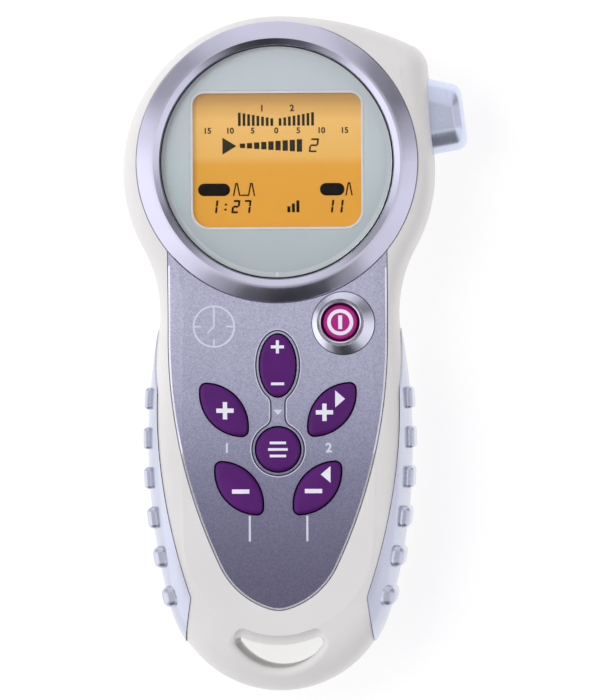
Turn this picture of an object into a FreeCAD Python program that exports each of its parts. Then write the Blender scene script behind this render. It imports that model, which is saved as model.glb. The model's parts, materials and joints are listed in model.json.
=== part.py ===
import FreeCAD, Part

import math
import os

from FreeCAD import Vector

# Hand-held nerve stimulator, lying on its back. Millimetres.
# +Z comes out of the display, +Y points to the display end, +X to the side button.
# The origin is on the flat back, on the long axis, half way along the casing.

# ---- casing outline, seen from the front ----
HALF_LENGTH = 67.5
HEAD_RADIUS = 31.2
WAIST_HALF = 23.9
WAIST_Y = 8.0
GRIP_HALF = 26.15
GRIP_Y = -18.0
SHOULDER_RADIUS = 62.0
SHOULDER_CORNER = 5.2
SMALLEST_CORNER = 0.8
FLANK_TILT = 4.0

# ---- casing section: inset from the outline, height ----
FRONT_PROFILE = [(0.2, 18.6), (0.7, 21.6), (1.4, 23.4), (2.3, 24.5), (3.6, 25.15), (5.2, 25.5)]
BACK_PROFILE = [(5.0, 0.0), (3.4, 0.3), (2.1, 1.1), (1.1, 2.6), (0.4, 5.4), (0.1, 9.0)]
PARTING_Z = 13.0
TOP_Z = FRONT_PROFILE[-1][1]
FRONT_GRIP_SPREAD = 1.35
FRONT_TAIL_SPREAD = 2.2
BACK_TAIL_SPREAD = 1.2

# ---- walls and gaps ----
WALL = 2.3
PANEL_THICK = 1.1
SEAT_GAP = 0.05
SIDE_GAP = 0.15
PARTING_GAP = 0.3
KEY_GAP = 0.3
TONGUE_HEIGHT = 1.3
TONGUE_OUTER = 1.05
TONGUE_INNER = 2.2
TONGUE_GAP = 0.1
TONGUE_ROOT = 1.0
CAVITY_END_Y = -54.0
INNER_INSET = 0.4
FAR = 60.0
THROUGH = (-1.0, 60.0)

# ---- display ----
DISPLAY_Y = 38.1
RING_OUTER = 28.0
RING_INNER = 23.45
RING_CREST = 24.6
RING_SEAT_Z = 24.0
RING_EDGE_Z = 25.4
RING_CREST_Z = 27.0
RING_BULGE = (26.5, 26.5)
RING_LIP_Z = 26.25
LENS_RADIUS = 23.35
LENS_Z = (24.4, 26.15)
LENS_CHAMFER = 0.5
MASK_Z = (24.1, 24.3)
WINDOW_Y = 38.5
WINDOW_WIDTH = 33.6
WINDOW_HEIGHT = 26.7
WINDOW_TOP_CORNER = 2.3
WINDOW_BOTTOM_CORNER = 3.4
WINDOW_BORDER = 0.45
LCD_OPENING = (37.0, 30.0)
LCD_FRAME = (36.6, 29.6)
LCD_FRAME_Z = (23.15, 23.9)
LCD_LIP_Z = (23.8, 24.3)
LCD_GLASS = (36.4, 29.4)
LCD_GLASS_Z = (21.0, 23.1)
BACKLIGHT = (33.0, 25.6)
BACKLIGHT_Z = (19.0, 20.9)
CONNECTOR_OFFSET = 13.9
CONNECTOR_HALF = (16.0, 0.7)

# ---- control panel outline ----
PANEL_HALF = 21.8
PANEL_STRAIGHT_Y = 3.0
PANEL_SIDE_RADIUS = 106.0
PANEL_BEND_RADIUS = 16.0
PANEL_TIP_RADIUS = 6.3
PANEL_TIP_Y = -51.1
PANEL_TOP_Y = 24.0

# ---- keys ----
KEY_TOP = 26.4
KEY_BOTTOM = 21.8
KEY_FLANGE_TOP = 22.7
KEY_FLANGE_WIDTH = 0.7
KEY_EDGE = 0.6
MODE_CENTRE = (0.0, -19.1)
MODE_RADIUS = 4.4
ROCKER_CENTRE = (0.0, -2.4)
ROCKER_HALF = (3.55, 6.15)
ROCKER_AXIS_Z = 22.4
ROCKER_BOTTOM = 21.5
ROCKER_PIN_RADIUS = 0.5
ROCKER_PIN_HALF = 5.3
PIN_CLEARANCE = 0.05
LUG_X = (4.1, 5.7)
LUG_HALF = 1.3
LUG_BOTTOM = 21.3
LUG_TOP = 23.5
PLUS_CENTRE = (10.75, -11.2)
MINUS_CENTRE = (7.8, -26.8)
LEAF_RADIUS = 8.55
LEAF_OFFSET = 5.1
LEAF_TIP = 1.15
LEAF_TURN = 48.8
POWER_CENTRE = (12.5, 6.15)
POWER_RADIUS = 3.4
POWER_TOP = 25.95
SURROUND_CENTRE = (13.1, 5.95)
SURROUND_RADIUS = 6.2
SURROUND_EDGE_Z = 25.65
SURROUND_TOP_Z = 26.3
SURROUND_BOTTOM_Z = 23.3
SURROUND_LIP_OUTER = 4.75
SURROUND_LIP_INNER = 3.85
SURROUND_LIP_ROUND = 0.3

# ---- engraved line around the two middle keys ----
GROOVE_WIDTH = 0.3
GROOVE_DEPTH = 0.3
GROOVE_MODE_RADIUS = 5.35
GROOVE_ROCKER_HALF = (4.5, 7.1)
GROOVE_NECK_HALF = 1.55
GROOVE_NECK_FILLET = 2.0

# ---- side button ----
BOOST_Y = 47.3
BOOST_LENGTH = 15.2
BOOST_HEIGHT = 11.0
BOOST_PROUD = 6.6
BOOST_FLANGE = 1.0
BOOST_FLANGE_THICK = 1.2
BOOST_END_ROUND = 4.6
BOOST_EDGE = 2.3
BOOST_DRAFT_HEAD_END = 16.0
BOOST_DRAFT_TAIL_END = 6.5
BOOST_FACE_LEAN = 3.0
BOOST_BEND = 6.0
BOOST_INSIDE = -3.0
BOOST_STEM_RADIUS = 1.4
BOOST_STEM_LENGTH = 1.5
BOOST_SWITCH_X = (-14.5, -10.0)
BOOST_SWITCH_HALF = 3.1
BOOST_SWITCH_LOW = -3.0
BOOST_PLUNGER_RADIUS = 1.2
BOOST_PLUNGER_LENGTH = 2.1
BOOST_SPRING_HALF = 2.9
BOOST_SPRING_THICK = 0.25
BOOST_SPRING_Z = (1.6, 3.0)
SPRING_SEAT_GAP = 0.05

# ---- side grips ----
GRIP_PROUD = 0.3
GRIP_GAP = 0.12
GRIP_PLAN = [(22.4, 6.0), (24.1, -6.0), (24.0, -18.0), (22.0, -32.5), (17.6, -48.6)]
GRIP_PLAN_END = (19.3, -60.0)
GRIP_CORNER = 2.0
GRIP_FRONT_SIDE = [(5.0, 13.0), (3.0, 17.5), (-2.0, 21.0), (-9.0, 23.9), (-16.0, 27.5)]
GRIP_BACK_SIDE = [(5.0, 13.0), (1.5, 8.0), (-5.0, 4.6), (-13.0, 3.6)]
PAD_FIRST_Y = -8.9
PAD_PITCH = 7.92
PAD_LENGTH = 4.4
PAD_PROUD = 0.95
PAD_REACHES = (0.7, 0.7, 0.9, 1.5, 2.15, 2.7)
PAD_RISE = 0.8
PAD_BOTTOM = 5.5
PAD_CORNER_SHARE = 0.46
PAD_TOP_SHARE = 0.8

# ---- lanyard slot: a crescent between two circles ----
SLOT_OUTER_RADIUS = 10.4
SLOT_OUTER_Y = -52.2
SLOT_INNER_RADIUS = 18.7
SLOT_INNER_Y = -39.4
SLOT_TIP = 1.0
SLOT_ROUND = 1.2
SCOOP_RADIUS = 2.0
SCOOP_Z = 26.2
SCOOP_SWEEP = 23.0

# ---- battery bay ----
CELL_RADIUS = 7.2
CELL_LENGTH = 50.5
CELL_X = 7.5
CELL_Z = 9.2
CELL_Y = (-46.2, 4.3)
CELL_NUB_RADIUS = 2.7
CELL_NUB_LENGTH = 1.2
CELL_EDGE = 0.6
CELL_SPRING_HALF = 4.0
CELL_SPRING_THICK = 0.3
CELL_SPRING_WIDTH = 5.0
CONTACT_THICK = 0.4
CONTACT_GAP = 0.1
CONTACT_HALF = 4.5
BAY_HALF = 16.0
BAY_Y = (-47.2, 8.8)
BAY_TOP = 16.6
BAY_WALL = 1.2
BAY_ROOF = 0.6
DOOR_HALF = 15.8
DOOR_Y = (-47.0, 8.6)
DOOR_THICK = 1.8
DOOR_CORNER = 3.0
DOOR_GAP = 0.25
TAB_X = 9.0
TAB_HALF = 3.0
TAB_ROOT = 2.5
TAB_REACH = 1.9
TAB_STEM = 0.4
TAB_Z = (0.15, 0.9)
TAB_OVERLAP = 0.6
TAB_GAP = 0.25
TAB_SWING = 1.0
THUMB_GROOVES = 5
THUMB_FIRST_Y = -42.5
THUMB_PITCH = 1.7
THUMB_WIDTH = 0.8
THUMB_HALF = 5.0
THUMB_DEPTH = 0.45
THUMB_CORNER = 0.39

# ---- inside ----
BOARD_Z = (17.4, 18.8)
BOARD_RADIUS = 21.0
BOARD_HALF = 16.8
BOARD_END_Y = -46.0
BOARD_JOIN_Y = 30.0
DOME_RADIUS = 2.2
DOME_Z = (18.8, 20.4)
DOME_ROUND = 0.5
ROCKER_DOME_OFFSET = 4.0
SHEET_X = (-16.5, 17.5)
SHEET_Y = (-33.0, 11.5)
SHEET_Z = (20.5, 21.0)
SHEET_CORNER = 3.0
CHIPS = [(-6.0, 40.0, 10.0, 10.0, 1.6), (8.0, 47.8, 5.0, 6.0, 1.5), (-10.0, 26.0, 5.0, 4.0, 1.4)]
CHIP_CORNER = 0.2
TRANSFORMER_X = 7.5
TRANSFORMER_Y = 18.0
TRANSFORMER_SIZE = (9.5, 9.0, 8.5)
CAN_X = (0.0, 6.0, 12.0)
CAN_Y = 31.0
CAN_RADIUS = 2.5
CAN_HEIGHT = 7.0
CAN_ROUND = 0.4
BUZZER_CENTRE = (9.0, 38.5)
BUZZER_RADIUS = 4.6
BUZZER_HOLE = 0.9
BUZZER_HEIGHT = 3.5
SOCKET_X = 9.0
SOCKET_Z = 13.0
SOCKET_RADIUS = 3.4
SOCKET_BORE = 1.3
SOCKET_Y = (52.5, 64.4)
SOCKET_DEPTH = 11.0
SOCKET_GAP = 0.1
SCREW_HEAD_END = (16.0, 56.5)
SCREW_TAIL_END = (12.4, -52.0)
SCREW_HEAD_RADIUS = 2.1
SCREW_SHANK_RADIUS = 1.1
SCREW_SEAT_Z = 4.0
SCREW_TOP_Z = 19.5
SCREW_HEAD_THICK = 1.65
SCREW_PILOT_GAP = 0.05
SCREW_CLEARANCE = 0.15
SCREW_HEAD_CLEARANCE = 0.3
SCREW_END_ROOM = 0.5
CROSS_HALF = (1.2, 0.3)
CROSS_DEPTH = 0.8
BOSS_RADIUS = 3.3
BOSS_INSET = 0.5


# ---------------------------------------------------------------- shape helpers


def polar(centre, radius, angle, z):
    return Vector(
        centre[0] + radius * math.cos(math.radians(angle)),
        centre[1] + radius * math.sin(math.radians(angle)),
        z,
    )


def arc(centre, radius, start, end, z):
    middle = (start + end) / 2
    points = [polar(centre, radius, angle, z) for angle in (start, middle, end)]
    return Part.Arc(*points).toShape()


def line(a, b):
    return Part.LineSegment(a, b).toShape()


def heading(a, b):
    return math.degrees(math.atan2(b[1] - a[1], b[0] - a[0]))


def prism(wire, height):
    return Part.Face(wire).extrude(Vector(0, 0, height))


def box(x, y, z):
    corner = Vector(x[0], y[0], z[0])
    return Part.makeBox(x[1] - x[0], y[1] - y[0], z[1] - z[0], corner)


def disc(centre, radius, z):
    return Part.makeCylinder(radius, z[1] - z[0], Vector(centre[0], centre[1], z[0]))


def tube(centre, outer, inner, z):
    return disc(centre, outer, z).cut(disc(centre, inner, (z[0] - 1, z[1] + 1)))


def oval(centre, half, z, grow=0.0):
    ellipse = Part.Ellipse(Vector(0, 0, 0), half[1] + grow, half[0] + grow).toShape()
    solid = prism(Part.Wire(ellipse), z[1] - z[0])
    solid.rotate(Vector(0, 0, 0), Vector(0, 0, 1), 90)
    solid.translate(Vector(centre[0], centre[1], z[0]))
    return solid


def upright_edges(solid):
    return [
        e for e in solid.Edges
        if e.BoundBox.ZLength > 0.1 and e.BoundBox.XLength + e.BoundBox.YLength < 0.001
    ]


def top_edges(solid):
    top = solid.BoundBox.ZMax
    return [e for e in solid.Edges if e.BoundBox.ZMin > top - 0.001]


def round_top(solid, radius):
    return solid.makeFillet(radius, top_edges(solid))


def round_bottom(solid, radius):
    bottom = solid.BoundBox.ZMin
    return solid.makeFillet(radius, [e for e in solid.Edges if e.BoundBox.ZMax < bottom + 0.001])


def rounded_box(x, y, z, radius):
    solid = box(x, y, z)
    return solid.makeFillet(radius, upright_edges(solid))


def window(width, height, z, grow=0.0):
    """The rounded opening over the display, with larger corners at the bottom."""
    half = width / 2 + grow
    low = WINDOW_Y - height / 2 - grow
    high = WINDOW_Y + height / 2 + grow
    solid = box((-half, half), (low, high), z)
    lower = [e for e in upright_edges(solid) if e.BoundBox.YMax < WINDOW_Y]
    solid = solid.makeFillet(WINDOW_BOTTOM_CORNER + grow, lower)
    upper = [
        e for e in upright_edges(solid)
        if e.BoundBox.YMin > high - 0.001 and abs(e.BoundBox.XMin) > half - 0.001
    ]
    return solid.makeFillet(WINDOW_TOP_CORNER + grow, upper)


def mirrored(shape):
    return shape.mirror(Vector(0, 0, 0), Vector(1, 0, 0))


def bowed_strip(half, bow, thick, z):
    """A strip bent to an arc. Its ends stand on x = 0 and its crown is at x = bow."""
    radius = (half**2 + bow**2) / (2 * bow)
    hoop = tube((bow - radius, 0), radius, radius - thick, z)
    return hoop.cut(box((-FAR, 0), (-FAR, FAR), (z[0] - 1, z[1] + 1)))


# ---------------------------------------------------------------- casing outline


def side_radii(head_radius, waist_half, grip_half):
    """Radii of the waist's hollow arc and of the grip's bulging arc, tangent to each other."""
    rise = HALF_LENGTH - HEAD_RADIUS - WAIST_Y
    waist_radius = (waist_half**2 + rise**2 - head_radius**2) / (2 * (head_radius - waist_half))
    swell = grip_half - waist_half
    drop = WAIST_Y - GRIP_Y
    return waist_radius, (swell**2 + drop**2) / (2 * swell) - waist_radius


def outline(head, waist, grip, tail, z):
    """The casing's outline at height z, drawn in by the four given insets."""
    head_radius = HEAD_RADIUS - head
    head_centre = (0.0, HALF_LENGTH - HEAD_RADIUS)
    waist_half = WAIST_HALF - waist
    grip_half = GRIP_HALF - grip
    waist_radius, grip_radius = side_radii(head_radius, waist_half, grip_half)
    waist_centre = (waist_half + waist_radius, WAIST_Y)
    grip_centre = (grip_half - grip_radius, GRIP_Y)
    reach = HALF_LENGTH - tail + GRIP_Y
    tail_radius = (grip_radius**2 - grip_centre[0] ** 2 - reach**2) / (2 * (grip_radius - reach))
    tail_centre = (0.0, tail_radius - HALF_LENGTH + tail)

    to_waist = heading(head_centre, waist_centre)
    grip_to_waist = heading(grip_centre, waist_centre)
    grip_to_tail = heading(grip_centre, tail_centre)

    corner = max(SHOULDER_CORNER - head, SMALLEST_CORNER)
    shoulder_radius = SHOULDER_RADIUS - head
    shoulder_centre = (0.0, HALF_LENGTH - SHOULDER_RADIUS)
    tilt = math.radians(FLANK_TILT)
    outward = (math.cos(tilt), math.sin(tilt))
    along = (-math.sin(tilt), math.cos(tilt))
    flank = head_centre[1] * outward[1] + head_radius
    side = flank - corner - shoulder_centre[1] * outward[1]
    up = shoulder_centre[1] * along[1] + math.sqrt((shoulder_radius - corner) ** 2 - side**2)
    corner_centre = (
        outward[0] * (flank - corner) + along[0] * up,
        outward[1] * (flank - corner) + along[1] * up,
    )
    shoulder_end = heading(shoulder_centre, corner_centre)

    left_waist = (-waist_centre[0], WAIST_Y)
    left_grip = (-grip_centre[0], GRIP_Y)
    edges = [
        arc(grip_centre, grip_radius, grip_to_tail, grip_to_waist, z),
        arc(waist_centre, waist_radius, grip_to_waist + 180, to_waist + 180, z),
        arc(head_centre, head_radius, to_waist, FLANK_TILT, z),
        line(
            polar(head_centre, head_radius, FLANK_TILT, z),
            polar(corner_centre, corner, FLANK_TILT, z),
        ),
        arc(corner_centre, corner, FLANK_TILT, shoulder_end, z),
        arc(shoulder_centre, shoulder_radius, shoulder_end, 90, z),
        arc(head_centre, head_radius, 90, 180 - to_waist, z),
        arc(left_waist, waist_radius, -to_waist, -grip_to_waist, z),
        arc(left_grip, grip_radius, 180 - grip_to_waist, 180 - grip_to_tail, z),
        arc(tail_centre, tail_radius, 180 - grip_to_tail, 360 + grip_to_tail, z),
    ]
    return Part.Wire(edges)


def section_wires(offset):
    """Outlines up the casing, with its surface moved out by offset."""
    profile = BACK_PROFILE + [(0.0, PARTING_Z)] + FRONT_PROFILE
    wires = []
    for i, (inset, z) in enumerate(profile):
        before = profile[max(i - 1, 0)]
        after = profile[min(i + 1, len(profile) - 1)]
        step = Vector(after[0] - before[0], 0, after[1] - before[1]).normalize()
        outward = Vector(-step.z, 0, step.x)
        if i in (0, len(profile) - 1):
            outward = Vector(0, 0, 1 if i else -1)
        front = z > PARTING_Z
        grip = inset * (FRONT_GRIP_SPREAD if front else 1.0)
        tail = inset * (FRONT_TAIL_SPREAD if front else BACK_TAIL_SPREAD)
        shift = offset * outward.x
        level = z + offset * outward.z
        wires.append(outline(inset + shift, inset + shift, grip + shift, tail + shift, level))
    return wires


def casing_solid(offset=0.0):
    return Part.makeLoft(section_wires(offset), True, False)


# ---------------------------------------------------------------- fascia outlines


def panel_prism(grow, z):
    """The control panel's outline: straight sides that bend in to a round tip in three arcs."""
    half = PANEL_HALF + grow
    side_radius = PANEL_SIDE_RADIUS + grow
    bend_radius = PANEL_BEND_RADIUS + grow
    tip_radius = PANEL_TIP_RADIUS + grow
    side = (side_radius - half, PANEL_STRAIGHT_Y)
    tip = (0.0, PANEL_TIP_Y + PANEL_TIP_RADIUS)
    bend = tangent_centre(side, side_radius - bend_radius, tip, bend_radius - tip_radius)
    side_end = heading(side, bend) + 360
    bend_end = heading(bend, tip) + 360
    left = Vector(-half, PANEL_TOP_Y, z[0])
    right = Vector(half, PANEL_TOP_Y, z[0])
    edges = [
        line(left, Vector(-half, PANEL_STRAIGHT_Y, z[0])),
        arc(side, side_radius, 180, side_end, z[0]),
        arc(bend, bend_radius, side_end, bend_end, z[0]),
        arc(tip, tip_radius, bend_end, 540 - bend_end, z[0]),
        arc((-bend[0], bend[1]), bend_radius, 540 - bend_end, 540 - side_end, z[0]),
        arc((-side[0], side[1]), side_radius, 540 - side_end, 360, z[0]),
        line(Vector(half, PANEL_STRAIGHT_Y, z[0]), right),
        line(right, left),
    ]
    return prism(Part.Wire(edges), z[1] - z[0])


def tangent_centre(a, from_a, b, from_b):
    """The point at the two given distances from a and b, on the right of the way from a to b."""
    gap = math.hypot(b[0] - a[0], b[1] - a[1])
    along = (from_a**2 - from_b**2 + gap**2) / (2 * gap)
    aside = math.sqrt(from_a**2 - along**2)
    unit = ((b[0] - a[0]) / gap, (b[1] - a[1]) / gap)
    return (a[0] + unit[0] * along + unit[1] * aside, a[1] + unit[1] * along - unit[0] * aside)


def leaf(centre, side, z, grow=0.0):
    """A leaf-shaped key: two long arcs joined by round tips. side -1 mirrors it."""
    tip = LEAF_TIP + grow
    reach = math.sqrt((LEAF_RADIUS - LEAF_TIP) ** 2 - LEAF_OFFSET**2)
    meet = math.degrees(math.atan2(LEAF_OFFSET, reach))
    radius = LEAF_RADIUS + grow
    edges = [
        arc((reach, 0), tip, -meet, meet, 0),
        arc((0, -LEAF_OFFSET), radius, meet, 180 - meet, 0),
        arc((-reach, 0), tip, 180 - meet, 180 + meet, 0),
        arc((0, LEAF_OFFSET), radius, 180 + meet, 360 - meet, 0),
    ]
    solid = prism(Part.Wire(edges), z[1] - z[0])
    solid.rotate(Vector(0, 0, 0), Vector(0, 0, 1), side * LEAF_TURN)
    solid.translate(Vector(side * centre[0], centre[1], z[0]))
    return solid


def surround(shrink):
    """The outline around the rocker and the mode key, joined by a narrow neck."""
    z = (TOP_Z - GROOVE_DEPTH, TOP_Z + 1)
    neck = GROOVE_NECK_HALF - shrink
    bar = box((-neck, neck), (MODE_CENTRE[1], ROCKER_CENTRE[1]), z)
    solid = oval(ROCKER_CENTRE, GROOVE_ROCKER_HALF, z, -shrink)
    solid = solid.fuse(disc(MODE_CENTRE, GROOVE_MODE_RADIUS - shrink, z)).fuse(bar).removeSplitter()
    inner = [
        e for e in upright_edges(solid)
        if MODE_CENTRE[1] < e.BoundBox.YMin < ROCKER_CENTRE[1] and abs(e.BoundBox.XMin) > neck - 0.01
    ]
    return solid.makeFillet(GROOVE_NECK_FILLET + shrink, inner)


def slot_prism():
    """The crescent lanyard slot."""
    outer = disc((0, SLOT_OUTER_Y), SLOT_OUTER_RADIUS, THROUGH)
    inner = disc((0, SLOT_INNER_Y), SLOT_INNER_RADIUS, (THROUGH[0] - 1, THROUGH[1] + 1))
    solid = outer.cut(inner)
    return solid.makeFillet(SLOT_TIP, upright_edges(solid))


def slot_scoop():
    """The hollow along the slot's upper rim: a round groove that ends in a ball at each side."""
    centre = Vector(0, SLOT_INNER_Y, SCOOP_Z)
    upright = Vector(0, 0, 1)
    groove = Part.makeTorus(SLOT_INNER_RADIUS, SCOOP_RADIUS, centre, upright, 0, 360, 2 * SCOOP_SWEEP)
    groove.rotate(centre, upright, 270 - SCOOP_SWEEP)
    for side in (-1, 1):
        end = polar((0, SLOT_INNER_Y), SLOT_INNER_RADIUS, 270 + side * SCOOP_SWEEP, SCOOP_Z)
        groove = groove.fuse(Part.makeSphere(SCOOP_RADIUS, end))
    return groove


def key_openings(z):
    """The openings for all the front keys, cut through panel and shell."""
    cuts = [
        disc(MODE_CENTRE, MODE_RADIUS + KEY_GAP, z),
        oval(ROCKER_CENTRE, ROCKER_HALF, z, KEY_GAP),
        disc(SURROUND_CENTRE, SURROUND_RADIUS + SIDE_GAP, z),
    ]
    for centre in (PLUS_CENTRE, MINUS_CENTRE):
        for side in (-1, 1):
            cuts.append(leaf(centre, side, z, KEY_GAP))
    return cuts


# ---------------------------------------------------------------- side grips


def grip_zone(grow):
    """The space of the right grip, without the casing's own surface."""
    plan = [Vector(x - grow, y, 0) for x, y in GRIP_PLAN]
    end = Vector(GRIP_PLAN_END[0] - grow, GRIP_PLAN_END[1], 0)
    curve = Part.BSplineCurve()
    curve.interpolate(plan)
    corners = [end, Vector(FAR, end.y, 0), Vector(FAR, plan[0].y + grow, 0)]
    corners.append(Vector(plan[0].x, plan[0].y + grow, 0))
    edges = [curve.toShape(), line(plan[-1], end)]
    edges += [line(a, b) for a, b in zip(corners, corners[1:])]
    if grow:
        edges.append(line(corners[-1], plan[0]))
    else:
        edges[-1] = line(corners[-2], plan[0])
    above = prism(Part.Wire(edges), FAR)
    bend = [e for e in upright_edges(above) if abs(e.BoundBox.XMin - plan[-1].x) < 0.01]
    above = above.makeFillet(GRIP_CORNER, bend)

    front = [Vector(0, y + grow, z + (grow if i else 0)) for i, (y, z) in enumerate(GRIP_FRONT_SIDE)]
    back = [Vector(0, y + grow, z - (grow if i else 0)) for i, (y, z) in enumerate(GRIP_BACK_SIDE)]
    upper = Part.BSplineCurve()
    upper.interpolate(front)
    lower = Part.BSplineCurve()
    lower.interpolate(back)
    far_front = Vector(0, -FAR - grow, front[-1].z)
    far_back = Vector(0, -FAR - grow, back[-1].z)
    side_edges = [
        upper.toShape(),
        line(front[-1], far_front),
        line(far_front, far_back),
        line(far_back, back[-1]),
        lower.toShape(),
    ]
    profile = Part.Wire(Part.__sortEdges__(side_edges))
    beside = Part.Face(profile).extrude(Vector(FAR, 0, 0))
    return above.common(beside)


def front_height(inset):
    """Height of the casing's front surface at this distance in from the grip's outline."""
    steps = [(0.0, PARTING_Z)] + [(i * FRONT_GRIP_SPREAD, z) for i, z in FRONT_PROFILE]
    for (near, low), (far, high) in zip(steps, steps[1:]):
        if inset <= far:
            return low + (high - low) * (inset - near) / (far - near)
    return TOP_Z


def grip_pads(zone):
    """Raised pegs with round ends down the side, square to the casing's outline."""
    radius = side_radii(HEAD_RADIUS, WAIST_HALF, GRIP_HALF)[1]
    half = PAD_LENGTH / 2
    pads = []
    for i, reach in enumerate(PAD_REACHES):
        y = PAD_FIRST_Y - i * PAD_PITCH
        angle = math.degrees(math.asin((y - GRIP_Y) / radius))
        x = GRIP_HALF - radius + radius * math.cos(math.radians(angle))
        top = front_height(reach) + PAD_RISE
        corner = (reach + PAD_PROUD) * PAD_CORNER_SHARE
        pad = rounded_box((-reach, PAD_PROUD), (-half, half), (PAD_BOTTOM, top), corner)
        pad = round_top(pad, corner * PAD_TOP_SHARE)
        pad.rotate(Vector(0, 0, 0), Vector(0, 0, 1), angle)
        pad.translate(Vector(x, y, 0))
        pads.append(pad.common(zone))
    return pads


def make_grip():
    zone = grip_zone(0.0)
    grip = casing_solid(GRIP_PROUD).common(zone)
    for pad in grip_pads(zone):
        grip = grip.fuse(pad)
    return grip.removeSplitter()


# ---------------------------------------------------------------- shells


def screw_places():
    return [(s * x, y) for x, y in (SCREW_HEAD_END, SCREW_TAIL_END) for s in (-1, 1)]


def boost_frame(shape):
    """Moves a shape made about the origin, facing +X, to the side button's place."""
    tilt = math.radians(FLANK_TILT)
    head_y = HALF_LENGTH - HEAD_RADIUS
    up = (BOOST_Y - head_y - HEAD_RADIUS * math.sin(tilt)) / math.cos(tilt)
    x = HEAD_RADIUS * math.cos(tilt) - up * math.sin(tilt)
    shape.rotate(Vector(0, 0, 0), Vector(0, 0, 1), FLANK_TILT)
    shape.translate(Vector(x, BOOST_Y, PARTING_Z))
    return shape


def boost_opening():
    half_y = BOOST_LENGTH / 2 + SIDE_GAP
    half_z = BOOST_HEIGHT / 2 + SIDE_GAP
    hole = box((-WALL - 2, 4), (-half_y, half_y), (-half_z, half_z))
    hole = hole.makeFillet(BOOST_END_ROUND, [e for e in hole.Edges if e.BoundBox.XLength > 4])
    return boost_frame(hole)


def socket_cut():
    length = HALF_LENGTH - SOCKET_Y[0]
    cuts = []
    for x in (-SOCKET_X, SOCKET_X):
        start = Vector(x, SOCKET_Y[0] - SIDE_GAP, SOCKET_Z)
        cuts.append(Part.makeCylinder(SOCKET_RADIUS + SOCKET_GAP, length, start, Vector(0, 1, 0)))
    return cuts


def cavity():
    hollow = casing_solid(-WALL)
    hollow = hollow.cut(box((-FAR, FAR), (-2 * FAR, CAVITY_END_Y), (-1, FAR)))
    for zone in both_grip_zones(WALL / 2):
        hollow = hollow.cut(zone)
    return hollow


def both_grip_zones(grow=GRIP_GAP):
    zone = grip_zone(grow)
    return [zone, mirrored(zone)]


def make_front_shell(body, hollow):
    z_low = PARTING_Z + PARTING_GAP / 2
    shell = body.common(box((-FAR, FAR), (-2 * FAR, 2 * FAR), (z_low, FAR)))
    shell = shell.cut(slot_prism())
    shell = soften_slot(shell)
    shell = shell.cut(hollow)
    for x, y in screw_places():
        boss = disc((x, y), BOSS_RADIUS, (z_low, TOP_Z)).common(casing_solid(-BOSS_INSET))
        shell = shell.fuse(boss)
    for side in (-1, 1):
        shell = shell.fuse(rocker_bearing(side))
    height = TONGUE_HEIGHT + TONGUE_GAP + 1
    shell = shell.cut(rim_band(TONGUE_OUTER - TONGUE_GAP, WALL + TONGUE_GAP, z_low - 1, height))
    panel_seat = panel_prism(SIDE_GAP, (PARTING_Z, FAR)).cut(casing_solid(-PANEL_THICK - SEAT_GAP))
    shell = shell.cut(panel_seat)
    shell = shell.cut(disc((0, DISPLAY_Y), RING_OUTER + SIDE_GAP, (RING_SEAT_Z - SEAT_GAP, FAR)))
    shell = shell.cut(window(LCD_OPENING[0], LCD_OPENING[1], (PARTING_Z, FAR)))
    for cut in key_openings((PARTING_Z, FAR)) + both_grip_zones() + socket_cut() + [boost_opening()]:
        shell = shell.cut(cut)
    for place in screw_places():
        pilot = (0, SCREW_TOP_Z + SCREW_END_ROOM)
        shell = shell.cut(disc(place, SCREW_SHANK_RADIUS + SCREW_PILOT_GAP, pilot))
    return shell.removeSplitter()


def rim_band(outer, inner, z, height):
    """A band that follows the casing's rim between two insets."""
    band = prism(outline(outer, outer, outer, outer, z), height)
    return band.cut(prism(outline(inner, inner, inner, inner, z - 1), height + 2))


def soften_slot(shell):
    """Rounds the slot's front rim and hollows the wall above it."""
    low = SLOT_OUTER_Y - SLOT_OUTER_RADIUS - 1
    high = SLOT_INNER_Y - SLOT_INNER_RADIUS / 2
    rim = [
        e for e in shell.Edges
        if e.BoundBox.ZMin > PARTING_Z + WALL and e.BoundBox.YMin > low and e.BoundBox.YMax < high
        and max(e.BoundBox.XMax, -e.BoundBox.XMin) < SLOT_OUTER_RADIUS
    ]
    return shell.makeFillet(SLOT_ROUND, rim).cut(slot_scoop())


def rocker_bearing(side):
    """A lug under the front wall that carries one end of the rocker's pin."""
    x = sorted((side * LUG_X[0], side * LUG_X[1]))
    y = (ROCKER_CENTRE[1] - LUG_HALF, ROCKER_CENTRE[1] + LUG_HALF)
    lug = box(x, y, (LUG_BOTTOM, LUG_TOP))
    start = Vector(x[0] - 1, ROCKER_CENTRE[1], ROCKER_AXIS_Z)
    bore = Part.makeCylinder(ROCKER_PIN_RADIUS + PIN_CLEARANCE, LUG_X[1], start, Vector(1, 0, 0))
    return lug.cut(bore)


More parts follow.
